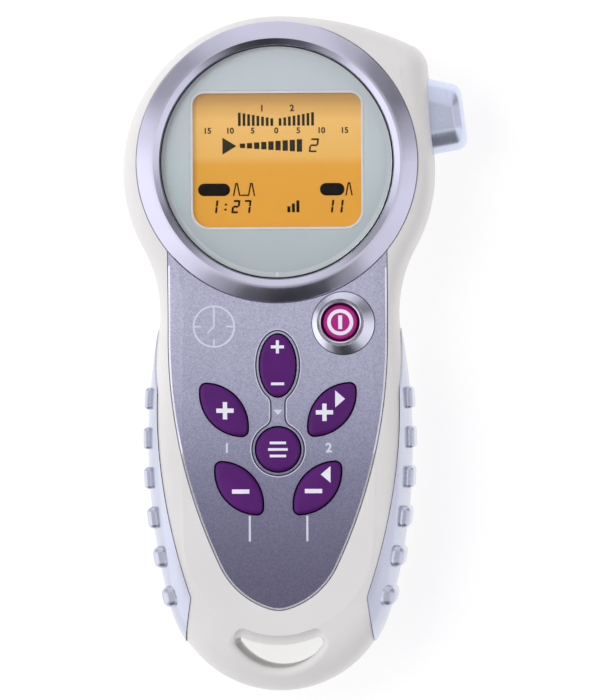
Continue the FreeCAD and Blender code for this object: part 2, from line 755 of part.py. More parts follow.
def make_rear_shell(body, hollow):
    z_high = PARTING_Z - PARTING_GAP / 2
    shell = body.common(box((-FAR, FAR), (-2 * FAR, 2 * FAR), (-1, z_high)))
    shell = shell.cut(slot_prism()).cut(hollow)
    tongue = rim_band(TONGUE_OUTER, TONGUE_INNER, z_high - TONGUE_ROOT, TONGUE_HEIGHT + TONGUE_ROOT)
    shell = shell.fuse(tongue)
    inside_skin = casing_solid(-INNER_INSET)
    for place in screw_places():
        shell = shell.fuse(disc(place, BOSS_RADIUS, (0, z_high)).common(inside_skin))
    half = BAY_HALF + BAY_WALL
    y = (BAY_Y[0] - BAY_WALL, BAY_Y[1] + BAY_WALL)
    lower_tray = box((-half, half), y, (0, z_high)).common(inside_skin)
    upper_tray = box((-half, half), y, (z_high - TONGUE_ROOT, BAY_TOP + BAY_ROOF))
    upper_tray = upper_tray.common(casing_solid(-WALL - PARTING_GAP))
    for zone in both_grip_zones(WALL / 2 + PARTING_GAP):
        upper_tray = upper_tray.cut(zone)
    shell = shell.fuse(lower_tray).fuse(upper_tray)
    shell = shell.cut(box((-BAY_HALF, BAY_HALF), BAY_Y, (DOOR_THICK + SEAT_GAP, BAY_TOP)))
    door_hole = rounded_box(
        (-DOOR_HALF - DOOR_GAP, DOOR_HALF + DOOR_GAP),
        (DOOR_Y[0] - DOOR_GAP, DOOR_Y[1] + DOOR_GAP),
        (-1, DOOR_THICK + SIDE_GAP),
        DOOR_CORNER + DOOR_GAP,
    )
    shell = shell.cut(door_hole)
    for side in (-1, 1):
        shell = shell.cut(tab_recess(side))
    for cut in both_grip_zones() + socket_cut() + [boost_opening()]:
        shell = shell.cut(cut)
    for place in screw_places():
        shell = shell.cut(disc(place, SCREW_SHANK_RADIUS + SCREW_CLEARANCE, (-1, FAR)))
        shell = shell.cut(disc(place, SCREW_HEAD_RADIUS + SCREW_HEAD_CLEARANCE, (-1, SCREW_SEAT_Z)))
    return shell.removeSplitter()


def tab_recess(side):
    """The space in the back wall for one of the door's hooks, with room for it to swing."""
    half = TAB_HALF + TAB_GAP
    y = (DOOR_Y[1] - TAB_ROOT, DOOR_Y[1] + TAB_REACH + TAB_GAP)
    z = (DOOR_THICK, DOOR_THICK + TAB_Z[1] + TAB_SWING)
    return box((side * TAB_X - half, side * TAB_X + half), y, z)


def make_battery_door(body):
    """A plate with two hooks at the hinge end and thumb grooves at the other end."""
    plate = rounded_box((-DOOR_HALF, DOOR_HALF), DOOR_Y, (-1, DOOR_THICK), DOOR_CORNER)
    door = plate.common(body)
    bend = DOOR_Y[1] - TAB_STEM
    for side in (-1, 1):
        x = (side * TAB_X - TAB_HALF, side * TAB_X + TAB_HALF)
        hook = box(x, (DOOR_Y[1] - TAB_ROOT, bend), (DOOR_THICK - TAB_OVERLAP, DOOR_THICK + TAB_Z[1]))
        lip = box(x, (bend, DOOR_Y[1] + TAB_REACH), (DOOR_THICK + TAB_Z[0], DOOR_THICK + TAB_Z[1]))
        door = door.fuse(hook).fuse(lip)
    for i in range(THUMB_GROOVES):
        y = THUMB_FIRST_Y + THUMB_PITCH * i
        groove = rounded_box((-THUMB_HALF, THUMB_HALF), (y, y + THUMB_WIDTH), (-1, THUMB_DEPTH), THUMB_CORNER)
        door = door.cut(groove)
    return door.removeSplitter()


# ---------------------------------------------------------------- fascia pieces


def make_control_panel(body):
    panel = body.common(panel_prism(0.0, (PARTING_Z, FAR)))
    panel = panel.cut(casing_solid(-PANEL_THICK))
    panel = panel.cut(disc((0, DISPLAY_Y), RING_OUTER + SIDE_GAP, (PARTING_Z, FAR)))
    for cut in key_openings((PARTING_Z, FAR)):
        panel = panel.cut(cut)
    panel = panel.cut(surround(0.0).cut(surround(GROOVE_WIDTH)))
    return panel.removeSplitter()


def make_bezel_ring():
    """A domed outer band, a crest and a chamfer that falls to the lens."""
    section = [
        line(Vector(RING_INNER, 0, RING_SEAT_Z), Vector(RING_OUTER, 0, RING_SEAT_Z)),
        line(Vector(RING_OUTER, 0, RING_SEAT_Z), Vector(RING_OUTER, 0, RING_EDGE_Z)),
        Part.Arc(
            Vector(RING_OUTER, 0, RING_EDGE_Z),
            Vector(RING_BULGE[0], 0, RING_BULGE[1]),
            Vector(RING_CREST, 0, RING_CREST_Z),
        ).toShape(),
        line(Vector(RING_CREST, 0, RING_CREST_Z), Vector(RING_INNER, 0, RING_LIP_Z)),
        line(Vector(RING_INNER, 0, RING_LIP_Z), Vector(RING_INNER, 0, RING_SEAT_Z)),
    ]
    ring = Part.Face(Part.Wire(section)).revolve(Vector(0, 0, 0), Vector(0, 0, 1), 360)
    ring.translate(Vector(0, DISPLAY_Y, 0))
    return ring


def make_display_lens():
    lens = disc((0, DISPLAY_Y), LENS_RADIUS, LENS_Z)
    return lens.makeChamfer(LENS_CHAMFER, top_edges(lens))


def make_display_mask():
    mask = disc((0, DISPLAY_Y), LENS_RADIUS, MASK_Z)
    z = (MASK_Z[0] - 1, MASK_Z[1] + 1)
    return mask.cut(window(WINDOW_WIDTH, WINDOW_HEIGHT, z, WINDOW_BORDER + SEAT_GAP))


def make_lcd_frame():
    """A frame on the glass whose narrow lip shows as the pale border of the window."""
    base = window(LCD_FRAME[0], LCD_FRAME[1], LCD_FRAME_Z)
    lip = window(WINDOW_WIDTH, WINDOW_HEIGHT, LCD_LIP_Z, WINDOW_BORDER)
    opening = window(WINDOW_WIDTH, WINDOW_HEIGHT, (PARTING_Z, FAR))
    return base.fuse(lip).cut(opening).removeSplitter()


def centred_plate(size, z):
    half = (size[0] / 2, size[1] / 2)
    return box((-half[0], half[0]), (WINDOW_Y - half[1], WINDOW_Y + half[1]), z)


def make_power_surround():
    """A raised metal cone with a rounded lip around the power key."""
    upright = Vector(0, 0, 1)
    foot_circle = Part.Circle(Vector(*SURROUND_CENTRE, SURROUND_EDGE_Z), upright, SURROUND_RADIUS)
    lip_circle = Part.Circle(Vector(*POWER_CENTRE, SURROUND_TOP_Z), upright, SURROUND_LIP_OUTER)
    wires = [Part.Wire(foot_circle.toShape()), Part.Wire(lip_circle.toShape())]
    foot = disc(SURROUND_CENTRE, SURROUND_RADIUS, (SURROUND_BOTTOM_Z, SURROUND_EDGE_Z))
    cone = foot.fuse(Part.makeLoft(wires, True, True)).removeSplitter()
    cone = cone.cut(disc(POWER_CENTRE, SURROUND_LIP_INNER, (0, FAR)))
    return round_top(cone, SURROUND_LIP_ROUND)


# ---------------------------------------------------------------- keys


def with_flange(cap, flange):
    return round_top(cap, KEY_EDGE).fuse(flange).removeSplitter()


def make_leaf_key(centre, side):
    cap = leaf(centre, side, (KEY_BOTTOM, KEY_TOP))
    return with_flange(cap, leaf(centre, side, (KEY_BOTTOM, KEY_FLANGE_TOP), KEY_FLANGE_WIDTH))


def make_mode_key():
    cap = disc(MODE_CENTRE, MODE_RADIUS, (KEY_BOTTOM, KEY_TOP))
    flange = disc(MODE_CENTRE, MODE_RADIUS + KEY_FLANGE_WIDTH, (KEY_BOTTOM, KEY_FLANGE_TOP))
    return with_flange(cap, flange)


def make_power_key():
    cap = disc(POWER_CENTRE, POWER_RADIUS, (KEY_BOTTOM, POWER_TOP))
    flange = disc(POWER_CENTRE, POWER_RADIUS + KEY_FLANGE_WIDTH, (KEY_BOTTOM, KEY_FLANGE_TOP))
    return with_flange(cap, flange)


def make_level_rocker():
    cap = round_top(oval(ROCKER_CENTRE, ROCKER_HALF, (ROCKER_BOTTOM, KEY_TOP)), KEY_EDGE)
    start = Vector(-ROCKER_PIN_HALF, ROCKER_CENTRE[1], ROCKER_AXIS_Z)
    pin = Part.makeCylinder(ROCKER_PIN_RADIUS, 2 * ROCKER_PIN_HALF, start, Vector(1, 0, 0))
    return cap.fuse(pin).removeSplitter()


def make_boost_button():
    """A button with round ends, narrower outwards, and a flange that holds it inside the wall."""
    half_y = BOOST_LENGTH / 2
    half_z = BOOST_HEIGHT / 2
    lean = half_y * math.tan(math.radians(BOOST_FACE_LEAN))
    head_end = (BOOST_PROUD - lean, half_y - BOOST_PROUD * math.tan(math.radians(BOOST_DRAFT_HEAD_END)))
    tail_end = (BOOST_PROUD + lean, BOOST_PROUD * math.tan(math.radians(BOOST_DRAFT_TAIL_END)) - half_y)
    corners = [(BOOST_INSIDE, -half_y), (0, -half_y), tail_end, head_end, (0, half_y), (BOOST_INSIDE, half_y)]
    plan = Part.makePolygon([Vector(x, y, -half_z) for x, y in corners + corners[:1]])
    cap = prism(Part.Wire(plan), BOOST_HEIGHT)
    bends = [e for e in upright_edges(cap) if abs(e.BoundBox.XMin) < 0.001]
    cap = cap.makeFillet(BOOST_BEND, bends)
    face = BOOST_PROUD - lean - 0.001
    sides = [
        e for e in cap.Edges
        if e.BoundBox.ZLength < 0.001 and e.BoundBox.XLength > 0.1 and e.BoundBox.XMin < face
    ]
    cap = cap.makeFillet(BOOST_END_ROUND, sides)
    cap = cap.makeFillet(BOOST_EDGE, [e for e in cap.Edges if e.BoundBox.XMin > face])
    flange_back = BOOST_INSIDE - BOOST_FLANGE_THICK
    flange = box(
        (flange_back, BOOST_INSIDE),
        (-half_y - BOOST_FLANGE, half_y + BOOST_FLANGE),
        (-half_z - BOOST_FLANGE, half_z + BOOST_FLANGE),
    )
    tip = Vector(flange_back - BOOST_STEM_LENGTH, 0, 0)
    stem = Part.makeCylinder(BOOST_STEM_RADIUS, BOOST_STEM_LENGTH, tip, Vector(1, 0, 0))
    return boost_frame(cap.fuse(flange).fuse(stem).removeSplitter())


# ---------------------------------------------------------------- inside pieces


def make_main_board():
    board = disc((0, HALF_LENGTH - HEAD_RADIUS), BOARD_RADIUS, BOARD_Z)
    tail = box((-BOARD_HALF, BOARD_HALF), (BOARD_END_Y, BOARD_JOIN_Y), BOARD_Z)
    return board.fuse(tail).removeSplitter()


def key_places():
    places = [MODE_CENTRE, POWER_CENTRE]
    places += [(s * x, y) for x, y in (PLUS_CENTRE, MINUS_CENTRE) for s in (-1, 1)]
    places += [(0, ROCKER_CENTRE[1] + s * ROCKER_DOME_OFFSET) for s in (-1, 1)]
    return places


def make_key_domes():
    domes = [round_top(disc(place, DOME_RADIUS, DOME_Z), DOME_ROUND) for place in key_places()]
    return Part.makeCompound(domes)


def make_keypad_sheet():
    return rounded_box(SHEET_X, SHEET_Y, SHEET_Z, SHEET_CORNER)


def make_lcd_connectors():
    long, half = CONNECTOR_HALF
    strips = []
    for y in (WINDOW_Y - CONNECTOR_OFFSET, WINDOW_Y + CONNECTOR_OFFSET):
        strips.append(box((-long, long), (y - half, y + half), (BOARD_Z[1], LCD_GLASS_Z[0] - SEAT_GAP)))
    return Part.makeCompound(strips)


def chip(x, y, width, length, height):
    top = BOARD_Z[0]
    return box((x - width / 2, x + width / 2), (y - length / 2, y + length / 2), (top - height, top))


def make_controller_chips():
    chips = [chip(*place_and_size) for place_and_size in CHIPS]
    return Part.makeCompound([c.makeFillet(CHIP_CORNER, upright_edges(c)) for c in chips])


def make_output_transformers():
    places = (-TRANSFORMER_X, TRANSFORMER_X)
    return Part.makeCompound([chip(x, TRANSFORMER_Y, *TRANSFORMER_SIZE) for x in places])


def make_capacitors():
    z = (BOARD_Z[0] - CAN_HEIGHT, BOARD_Z[0])
    cans = [disc((x, CAN_Y), CAN_RADIUS, z) for x in CAN_X]
    return Part.makeCompound([round_bottom(can, CAN_ROUND) for can in cans])


def make_buzzer():
    return tube(BUZZER_CENTRE, BUZZER_RADIUS, BUZZER_HOLE, (BOARD_Z[0] - BUZZER_HEIGHT, BOARD_Z[0]))


def make_boost_switch():
    """The switch body under the board's edge, with its plunger facing the button."""
    wide = (-BOOST_SWITCH_HALF, BOOST_SWITCH_HALF)
    body = box(BOOST_SWITCH_X, wide, (BOOST_SWITCH_LOW, BOARD_Z[0] - PARTING_Z))
    face = Vector(BOOST_SWITCH_X[1], 0, 0)
    plunger = Part.makeCylinder(BOOST_PLUNGER_RADIUS, BOOST_PLUNGER_LENGTH, face, Vector(1, 0, 0))
    return boost_frame(body.fuse(plunger).removeSplitter())


def make_boost_spring():
    """Two bowed strips between the switch and the button's flange, above and below the stem."""
    start = BOOST_SWITCH_X[1] + SPRING_SEAT_GAP
    crown = BOOST_INSIDE - BOOST_FLANGE_THICK - SPRING_SEAT_GAP
    low, high = BOOST_SPRING_Z
    strips = []
    for z in ((low, high), (-high, -low)):
        strip = bowed_strip(BOOST_SPRING_HALF, crown - start, BOOST_SPRING_THICK, z)
        strip.translate(Vector(start, 0, 0))
        strips.append(boost_frame(strip))
    return Part.makeCompound(strips)


def make_lead_socket(x):
    start = Vector(x, SOCKET_Y[0], SOCKET_Z)
    along = Vector(0, 1, 0)
    body = Part.makeCylinder(SOCKET_RADIUS, SOCKET_Y[1] - SOCKET_Y[0], start, along)
    mouth = Vector(x, SOCKET_Y[1] - SOCKET_DEPTH, SOCKET_Z)
    bore = Part.makeCylinder(SOCKET_BORE, SOCKET_DEPTH + 1, mouth, along)
    return body.cut(bore)


def make_cell(x):
    """An AA cell: a can with a raised contact at its lower end."""
    along = Vector(0, 1, 0)
    can_end = Vector(x, CELL_Y[0] + CELL_NUB_LENGTH, CELL_Z)
    body = Part.makeCylinder(CELL_RADIUS, CELL_LENGTH - CELL_NUB_LENGTH, can_end, along)
    body = body.makeFillet(CELL_EDGE, body.Edges)
    tip = Vector(x, CELL_Y[0], CELL_Z)
    contact = Part.makeCylinder(CELL_NUB_RADIUS, CELL_NUB_LENGTH + CELL_EDGE, tip, along)
    return body.fuse(contact).removeSplitter()


def make_cell_springs():
    """A bowed strip between the flat end of each cell and its terminal."""
    seat = BAY_Y[1] - CONTACT_GAP - CONTACT_THICK - SPRING_SEAT_GAP
    bow = seat - CELL_Y[1] - SPRING_SEAT_GAP
    z = (-CELL_SPRING_WIDTH / 2, CELL_SPRING_WIDTH / 2)
    strips = []
    for x in (-CELL_X, CELL_X):
        strip = bowed_strip(CELL_SPRING_HALF, bow, CELL_SPRING_THICK, z)
        strip.rotate(Vector(0, 0, 0), Vector(0, 0, 1), -90)
        strip.translate(Vector(x, seat, CELL_Z))
        strips.append(strip)
    return Part.makeCompound(strips)


def make_cell_contacts():
    """A flat terminal plate at each end of each cell."""
    z = (CELL_Z - CONTACT_HALF, CELL_Z + CONTACT_HALF)
    low_end = (BAY_Y[0] + CONTACT_GAP, BAY_Y[0] + CONTACT_GAP + CONTACT_THICK)
    high_end = (BAY_Y[1] - CONTACT_GAP - CONTACT_THICK, BAY_Y[1] - CONTACT_GAP)
    plates = []
    for x in (-CELL_X, CELL_X):
        for y in (low_end, high_end):
            plates.append(box((x - CONTACT_HALF, x + CONTACT_HALF), y, z))
    return Part.makeCompound(plates)


def make_case_screws():
    """Four screws, put in from the back, with a cross recess in the head."""
    under = SCREW_SEAT_Z - SEAT_GAP - SCREW_HEAD_THICK
    arm, half = CROSS_HALF
    screws = []
    for x, y in screw_places():
        head = disc((x, y), SCREW_HEAD_RADIUS, (under, SCREW_SEAT_Z - SEAT_GAP))
        shank = disc((x, y), SCREW_SHANK_RADIUS, (under + SCREW_HEAD_THICK / 2, SCREW_TOP_Z))
        screw = head.fuse(shank).removeSplitter()
        for turn in (0, 90):
            bar = box((-arm, arm), (-half, half), (0, under + CROSS_DEPTH))
            bar.rotate(Vector(0, 0, 0), Vector(0, 0, 1), turn)
            bar.translate(Vector(x, y, 0))
            screw = screw.cut(bar)
        screws.append(screw)
    return Part.makeCompound(screws)


# ---------------------------------------------------------------- build


def build():
    body = casing_solid()
    hollow = cavity()
    right_grip = make_grip()
    pieces = {
        "front_shell": make_front_shell(body, hollow),
        "rear_shell": make_rear_shell(body, hollow),
        "battery_door": make_battery_door(body),
        "control_panel": make_control_panel(body),
        "bezel_ring": make_bezel_ring(),
        "display_lens": make_display_lens(),
        "display_mask": make_display_mask(),
        "lcd_frame": make_lcd_frame(),
        "lcd_glass": centred_plate(LCD_GLASS, LCD_GLASS_Z),
        "lcd_backlight": centred_plate(BACKLIGHT, BACKLIGHT_Z),
        "lcd_connectors": make_lcd_connectors(),
        "power_surround": make_power_surround(),
        "power_key": make_power_key(),
        "level_rocker": make_level_rocker(),
        "mode_key": make_mode_key(),
        "ch1_plus_key": make_leaf_key(PLUS_CENTRE, -1),
        "ch1_minus_key": make_leaf_key(MINUS_CENTRE, -1),
        "ch2_plus_key": make_leaf_key(PLUS_CENTRE, 1),
        "ch2_minus_key": make_leaf_key(MINUS_CENTRE, 1),
        "boost_button": make_boost_button(),
        "boost_switch": make_boost_switch(),
        "boost_spring": make_boost_spring(),
        "right_grip": right_grip,
        "left_grip": mirrored(right_grip),
        "keypad_sheet": make_keypad_sheet(),
        "key_domes": make_key_domes(),
        "main_board": make_main_board(),
        "controller_chips": make_controller_chips(),
        "output_transformers": make_output_transformers(),
        "capacitors": make_capacitors(),
        "buzzer": make_buzzer(),
        "lead_socket_left": make_lead_socket(-SOCKET_X),
        "lead_socket_right": make_lead_socket(SOCKET_X),
        "cell_left": make_cell(-CELL_X),
        "cell_right": make_cell(CELL_X),
        "cell_springs": make_cell_springs(),
        "cell_contacts": make_cell_contacts(),
        "case_screws": make_case_screws(),
    }
    os.makedirs("parts", exist_ok=True)
    for name, shape in pieces.items():
        shape.exportStep(f"parts/{name}.step")
        print(name, len(shape.Solids), round(shape.Volume, 1), shape.isValid())


build()
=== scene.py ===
import json
import math

import bmesh
import bpy
from mathutils import Matrix, Vector
from mathutils.bvhtree import BVHTree


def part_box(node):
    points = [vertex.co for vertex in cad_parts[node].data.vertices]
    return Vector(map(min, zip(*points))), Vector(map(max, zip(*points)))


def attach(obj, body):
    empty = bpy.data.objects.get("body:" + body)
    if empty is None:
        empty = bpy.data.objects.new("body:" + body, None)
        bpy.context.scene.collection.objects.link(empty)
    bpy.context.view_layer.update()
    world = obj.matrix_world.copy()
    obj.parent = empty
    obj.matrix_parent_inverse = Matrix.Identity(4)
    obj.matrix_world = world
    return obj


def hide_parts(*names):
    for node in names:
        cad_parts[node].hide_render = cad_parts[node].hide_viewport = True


# Looks of a hand-held nerve stimulator. Shapes are written in millimetres in the part's
# own frame: +Z out of the display, +Y to the display end, +X to the side button.

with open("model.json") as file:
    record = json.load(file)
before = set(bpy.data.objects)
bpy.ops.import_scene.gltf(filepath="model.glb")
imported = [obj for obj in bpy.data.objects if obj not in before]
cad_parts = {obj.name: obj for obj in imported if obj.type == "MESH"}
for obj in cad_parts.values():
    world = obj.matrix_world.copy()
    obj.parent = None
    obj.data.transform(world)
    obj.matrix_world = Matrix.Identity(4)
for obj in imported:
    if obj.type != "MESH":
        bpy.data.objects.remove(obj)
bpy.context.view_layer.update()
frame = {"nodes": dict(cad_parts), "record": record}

MM = 0.001
ROOT = "casing"


def centre(node):
    low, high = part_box(node)
    return (Vector(low) + Vector(high)) / (2 * MM)


def top(node):
    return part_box(node)[1][2] / MM


DISPLAY = centre("display_lens")
DISPLAY_RADIUS = (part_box("display_lens")[1][0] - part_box("display_lens")[0][0]) / (2 * MM)
PANEL_TOP = top("control_panel")
LENS_TOP = top("display_lens")
LENS_BEVEL = 0.5
LCD_TOP = top("lcd_glass")
MASK_TOP = top("display_mask")
KEY_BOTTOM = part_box("mode_key")[0][2] / MM
KEY_TOP = top("mode_key")
POWER_TOP = top("power_key")
KEY_FLANGE_TOP = KEY_BOTTOM + 0.9
KEY_FLANGE = 0.7


# ---------------------------------------------------------------- colour and node helpers


def srgb(r, g, b):
    """Linear colour of an 8-bit sRGB colour."""
    linear = []
    for value in (r / 255, g / 255, b / 255):
        linear.append(value / 12.92 if value <= 0.04045 else ((value + 0.055) / 1.055) ** 2.4)
    return (*linear, 1.0)


class Shader:
    """One Principled material whose colour, roughness and bump come from nodes."""

    def __init__(self, name, **sockets):
        self.material = bpy.data.materials.new(name)
        self.material.use_nodes = True
        self.nodes = self.material.node_tree.nodes
        self.links = self.material.node_tree.links
        self.bsdf = self.nodes["Principled BSDF"]
        for socket, value in sockets.items():
            label = socket.replace("_", " ").title().replace("Ior", "IOR")
            self.bsdf.inputs[label].default_value = value
        self.place = self.nodes.new("ShaderNodeTexCoord").outputs["Object"]

    def noise(self, scale, detail=2.0, stretch=None):
        node = self.nodes.new("ShaderNodeTexNoise")
        node.inputs["Scale"].default_value = scale
        node.inputs["Detail"].default_value = detail
        place = self.place
        if stretch:
            mapping = self.nodes.new("ShaderNodeMapping")
            mapping.inputs["Scale"].default_value = stretch
            self.links.new(self.place, mapping.inputs["Vector"])
            place = mapping.outputs["Vector"]
        self.links.new(place, node.inputs["Vector"])
        return node.outputs["Fac"]

    def speckle(self, scale):
        node = self.nodes.new("ShaderNodeTexVoronoi")
        node.inputs["Scale"].default_value = scale
        self.links.new(self.place, node.inputs["Vector"])
        return self.separate(node.outputs["Color"], 0)

    def separate(self, socket, axis):
        node = self.nodes.new("ShaderNodeSeparateXYZ")
        self.links.new(socket, node.inputs[0])
        return node.outputs[axis]

    def math(self, operation, a, b=0.0):
        node = self.nodes.new("ShaderNodeMath")
        node.operation = operation
        for socket, value in zip(node.inputs, (a, b)):
            if isinstance(value, (int, float)):
                socket.default_value = value
            else:
                self.links.new(value, socket)
        return node.outputs[0]

    def span(self, value, low, high, start=0.0, end=1.0):
        node = self.nodes.new("ShaderNodeMapRange")
        node.interpolation_type = "SMOOTHSTEP"
        self.links.new(value, node.inputs["Value"])
        for name, number in (("From Min", low), ("From Max", high), ("To Min", start), ("To Max", end)):
            node.inputs[name].default_value = number
        return node.outputs["Result"]

    def ramp(self, value, stops):
        node = self.nodes.new("ShaderNodeValToRGB")
        elements = node.color_ramp.elements
        while len(elements) < len(stops):
            elements.new(0.5)
        for element, (position, colour) in zip(elements, stops):
            element.position = position
            element.color = colour
        self.links.new(value, node.inputs["Fac"])
        return node.outputs["Color"]

    def tones(self, value, dark, light):
        """A colour that wanders between two close tones."""
        return self.ramp(value, [(0.3, srgb(*dark)), (0.7, srgb(*light))])

    def mix(self, factor, a, b, blend="MIX"):
        node = self.nodes.new("ShaderNodeMix")
        node.data_type = "RGBA"
        node.blend_type = blend
        for socket, value in ((node.inputs[0], factor), (node.inputs[6], a), (node.inputs[7], b)):
            if isinstance(value, (int, float, tuple)):
                socket.default_value = value
            else:
                self.links.new(value, socket)
        return node.outputs[2]

    def radius(self, middle):
        """Distance in metres from an upright axis through middle, which is in millimetres."""
        x = self.math("SUBTRACT", self.separate(self.place, 0), middle[0] * MM)
        y = self.math("SUBTRACT", self.separate(self.place, 1), middle[1] * MM)
        squares = self.math("ADD", self.math("MULTIPLY", x, x), self.math("MULTIPLY", y, y))
        return self.math("SQRT", squares)

    def colour(self, socket):
        self.links.new(socket, self.bsdf.inputs["Base Color"])

    def rough(self, value, low, high):
        self.links.new(self.span(value, 0.3, 0.7, low, high), self.bsdf.inputs["Roughness"])

    def bump(self, height, strength, depth):
        node = self.nodes.new("ShaderNodeBump")
        node.inputs["Strength"].default_value = strength
        node.inputs["Distance"].default_value = depth
        self.links.new(height, node.inputs["Height"])
        self.links.new(node.outputs["Normal"], self.bsdf.inputs["Normal"])


# ---------------------------------------------------------------- materials


def shell_white():
    s = Shader("shell_white", coat_weight=0.1, coat_roughness=0.25, specular_ior_level=0.3)
    broad = s.noise(45, 3)
    s.colour(s.tones(broad, (231, 228, 224), (236, 234, 231)))
    s.rough(s.noise(160, 4), 0.34, 0.44)
    s.bump(s.noise(5200, 2), 0.12, 0.00003)
    return s.material


def lilac_panel():
    s = Shader("lilac_panel", metallic=0.2, coat_weight=0.1, coat_roughness=0.4)
    # Painted reflection: the fascia is coloured lighter towards the display end and darker towards the
    # tail, as the light falls on it.
    down = s.separate(s.place, 1)
    shade = s.span(down, -0.052, 0.016)
    base = s.ramp(shade, [
        (0.0, srgb(108, 105, 128)), (0.35, srgb(146, 145, 170)),
        (0.7, srgb(184, 184, 206)), (1.0, srgb(202, 202, 222)),
    ])
    grain = s.ramp(s.speckle(5500), [
        (0.0, srgb(200, 199, 208)), (0.85, srgb(250, 250, 252)), (1.0, srgb(255, 255, 255)),
    ])
    s.colour(s.mix(0.75, base, grain, "MULTIPLY"))
    s.rough(s.noise(3000, 2), 0.45, 0.6)
    s.bump(s.noise(6000, 2), 0.25, 0.00003)
    return s.material


def satin_lilac(name, dark, light):
    """Metallic lilac lacquer with a satin sheen."""
    s = Shader(name, metallic=0.8, coat_weight=0.15, coat_roughness=0.15)
    s.colour(s.tones(s.noise(60, 3), dark, light))
    s.rough(s.noise(150, 2), 0.24, 0.28)
    s.bump(s.noise(2500, 2), 0.03, 0.00001)
    return s.material


def turned_ring():
    s = Shader("turned_ring", metallic=0.97)
    s.colour(s.tones(s.noise(60, 3), (214, 213, 231), (221, 220, 236)))
    lines = s.math("SINE", s.math("MULTIPLY", s.radius(DISPLAY), 60000.0))
    s.rough(s.noise(400, 3), 0.11, 0.16)
    s.bump(lines, 0.03, 0.00001)
    return s.material


def silver_plated():
    s = Shader("silver_plated", metallic=0.97)
    s.colour(s.tones(s.noise(90, 3), (224, 225, 240), (232, 233, 246)))
    lines = s.math("SINE", s.math("MULTIPLY", s.radius(centre("power_key")), 50000.0))
    s.rough(s.noise(500, 3), 0.12, 0.18)
    s.bump(lines, 0.04, 0.00001)
    return s.material


def clear_lens():
    s = Shader("lens_clear", transmission_weight=1.0, ior=1.45, roughness=0.02)
    s.colour(s.tones(s.noise(30, 2), (250, 253, 252), (255, 255, 255)))
    path = s.nodes.new("ShaderNodeLightPath")
    clear = s.nodes.new("ShaderNodeBsdfTransparent")
    mixer = s.nodes.new("ShaderNodeMixShader")
    passing = s.math("MAXIMUM", path.outputs["Is Shadow Ray"], path.outputs["Is Diffuse Ray"])
    s.links.new(passing, mixer.inputs[0])
    s.links.new(s.bsdf.outputs[0], mixer.inputs[1])
    s.links.new(clear.outputs[0], mixer.inputs[2])
    s.links.new(mixer.outputs[0], s.nodes["Material Output"].inputs["Surface"])
    return s.material


def mask_print():
    s = Shader("mask_print", coat_weight=0.4, coat_roughness=0.1)
    distance = s.radius(DISPLAY)
    rim = s.span(distance, (DISPLAY_RADIUS - 1.45) * MM, (DISPLAY_RADIUS - 1.3) * MM)
    down = s.span(s.separate(s.place, 1), 0.015, 0.06)
    film = s.ramp(down, [
        (0.0, srgb(190, 201, 202)), (0.5, srgb(204, 216, 216)), (1.0, srgb(207, 216, 219)),
    ])
    s.colour(s.mix(rim, film, srgb(216, 224, 223)))
    s.rough(s.noise(900, 2), 0.35, 0.45)
    s.bump(s.noise(5000, 1), 0.05, 0.00002)
    return s.material


def frame_pale():
    s = Shader("frame_pale", specular_ior_level=0.4)
    s.colour(s.tones(s.noise(400, 2), (222, 224, 228), (230, 232, 235)))
    s.rough(s.noise(700, 2), 0.4, 0.5)
    return s.material


def lcd_amber():
    s = Shader("lcd_amber", coat_weight=0.3, coat_roughness=0.15, emission_strength=0.25)
    down = s.separate(s.place, 1)
    # Backlight colour, lighter on the upper half; its last two stops darken the top edge as painted shadow
    # of the window frame, in the base colour and the emission both.
    backlight_with_painted_shadow = s.ramp(s.span(down, 0.0252, 0.0518), [
        (0.0, srgb(222, 156, 44)), (0.44, srgb(223, 158, 50)), (0.54, srgb(229, 177, 88)),
        (0.9, srgb(234, 185, 104)), (0.97, srgb(214, 166, 92)), (1.0, srgb(186, 142, 80)),
    ])
    fine = s.ramp(s.speckle(9000), [(0.0, srgb(246, 246, 246)), (1.0, srgb(255, 255, 255))])
    s.colour(s.mix(1.0, backlight_with_painted_shadow, fine, "MULTIPLY"))
    s.links.new(backlight_with_painted_shadow, s.bsdf.inputs["Emission Color"])
    s.rough(s.noise(900, 2), 0.4, 0.5)
    return s.material


def silicone(name, dark, light, low=0.3, high=0.4):
    s = Shader(name, coat_weight=0.05, coat_roughness=0.2, specular_ior_level=0.2)
    s.colour(s.tones(s.noise(130, 3), dark, light))
    s.rough(s.noise(800, 3), low, high)
    s.bump(s.noise(6500, 2), 0.1, 0.00002)
    return s.material


def plastic(name, dark, light, low=0.4, high=0.55, scale=300, **sockets):
    s = Shader(name, **sockets)
    s.colour(s.tones(s.noise(scale, 3), dark, light))
    s.rough(s.noise(scale * 2.5, 3), low, high)
    s.bump(s.noise(5000, 2), 0.1, 0.00002)
    return s.material


def brushed(name, dark, light, low=0.28, high=0.42):
    s = Shader(name, metallic=1.0)
    s.colour(s.tones(s.noise(900, 3, (1, 12, 1)), dark, light))
    s.rough(s.noise(1500, 3, (1, 12, 1)), low, high)
    s.bump(s.noise(4000, 2, (1, 10, 1)), 0.15, 0.00002)
    return s.material


def board_green():
    s = Shader("board_green", coat_weight=0.5, coat_roughness=0.2)
    weave = s.noise(2500, 1, (1, 3, 1))
    s.colour(s.ramp(weave, [(0.35, srgb(18, 74, 44)), (0.65, srgb(26, 96, 56))]))
    s.rough(s.noise(900, 2), 0.35, 0.5)
    s.bump(weave, 0.1, 0.00002)
    return s.material


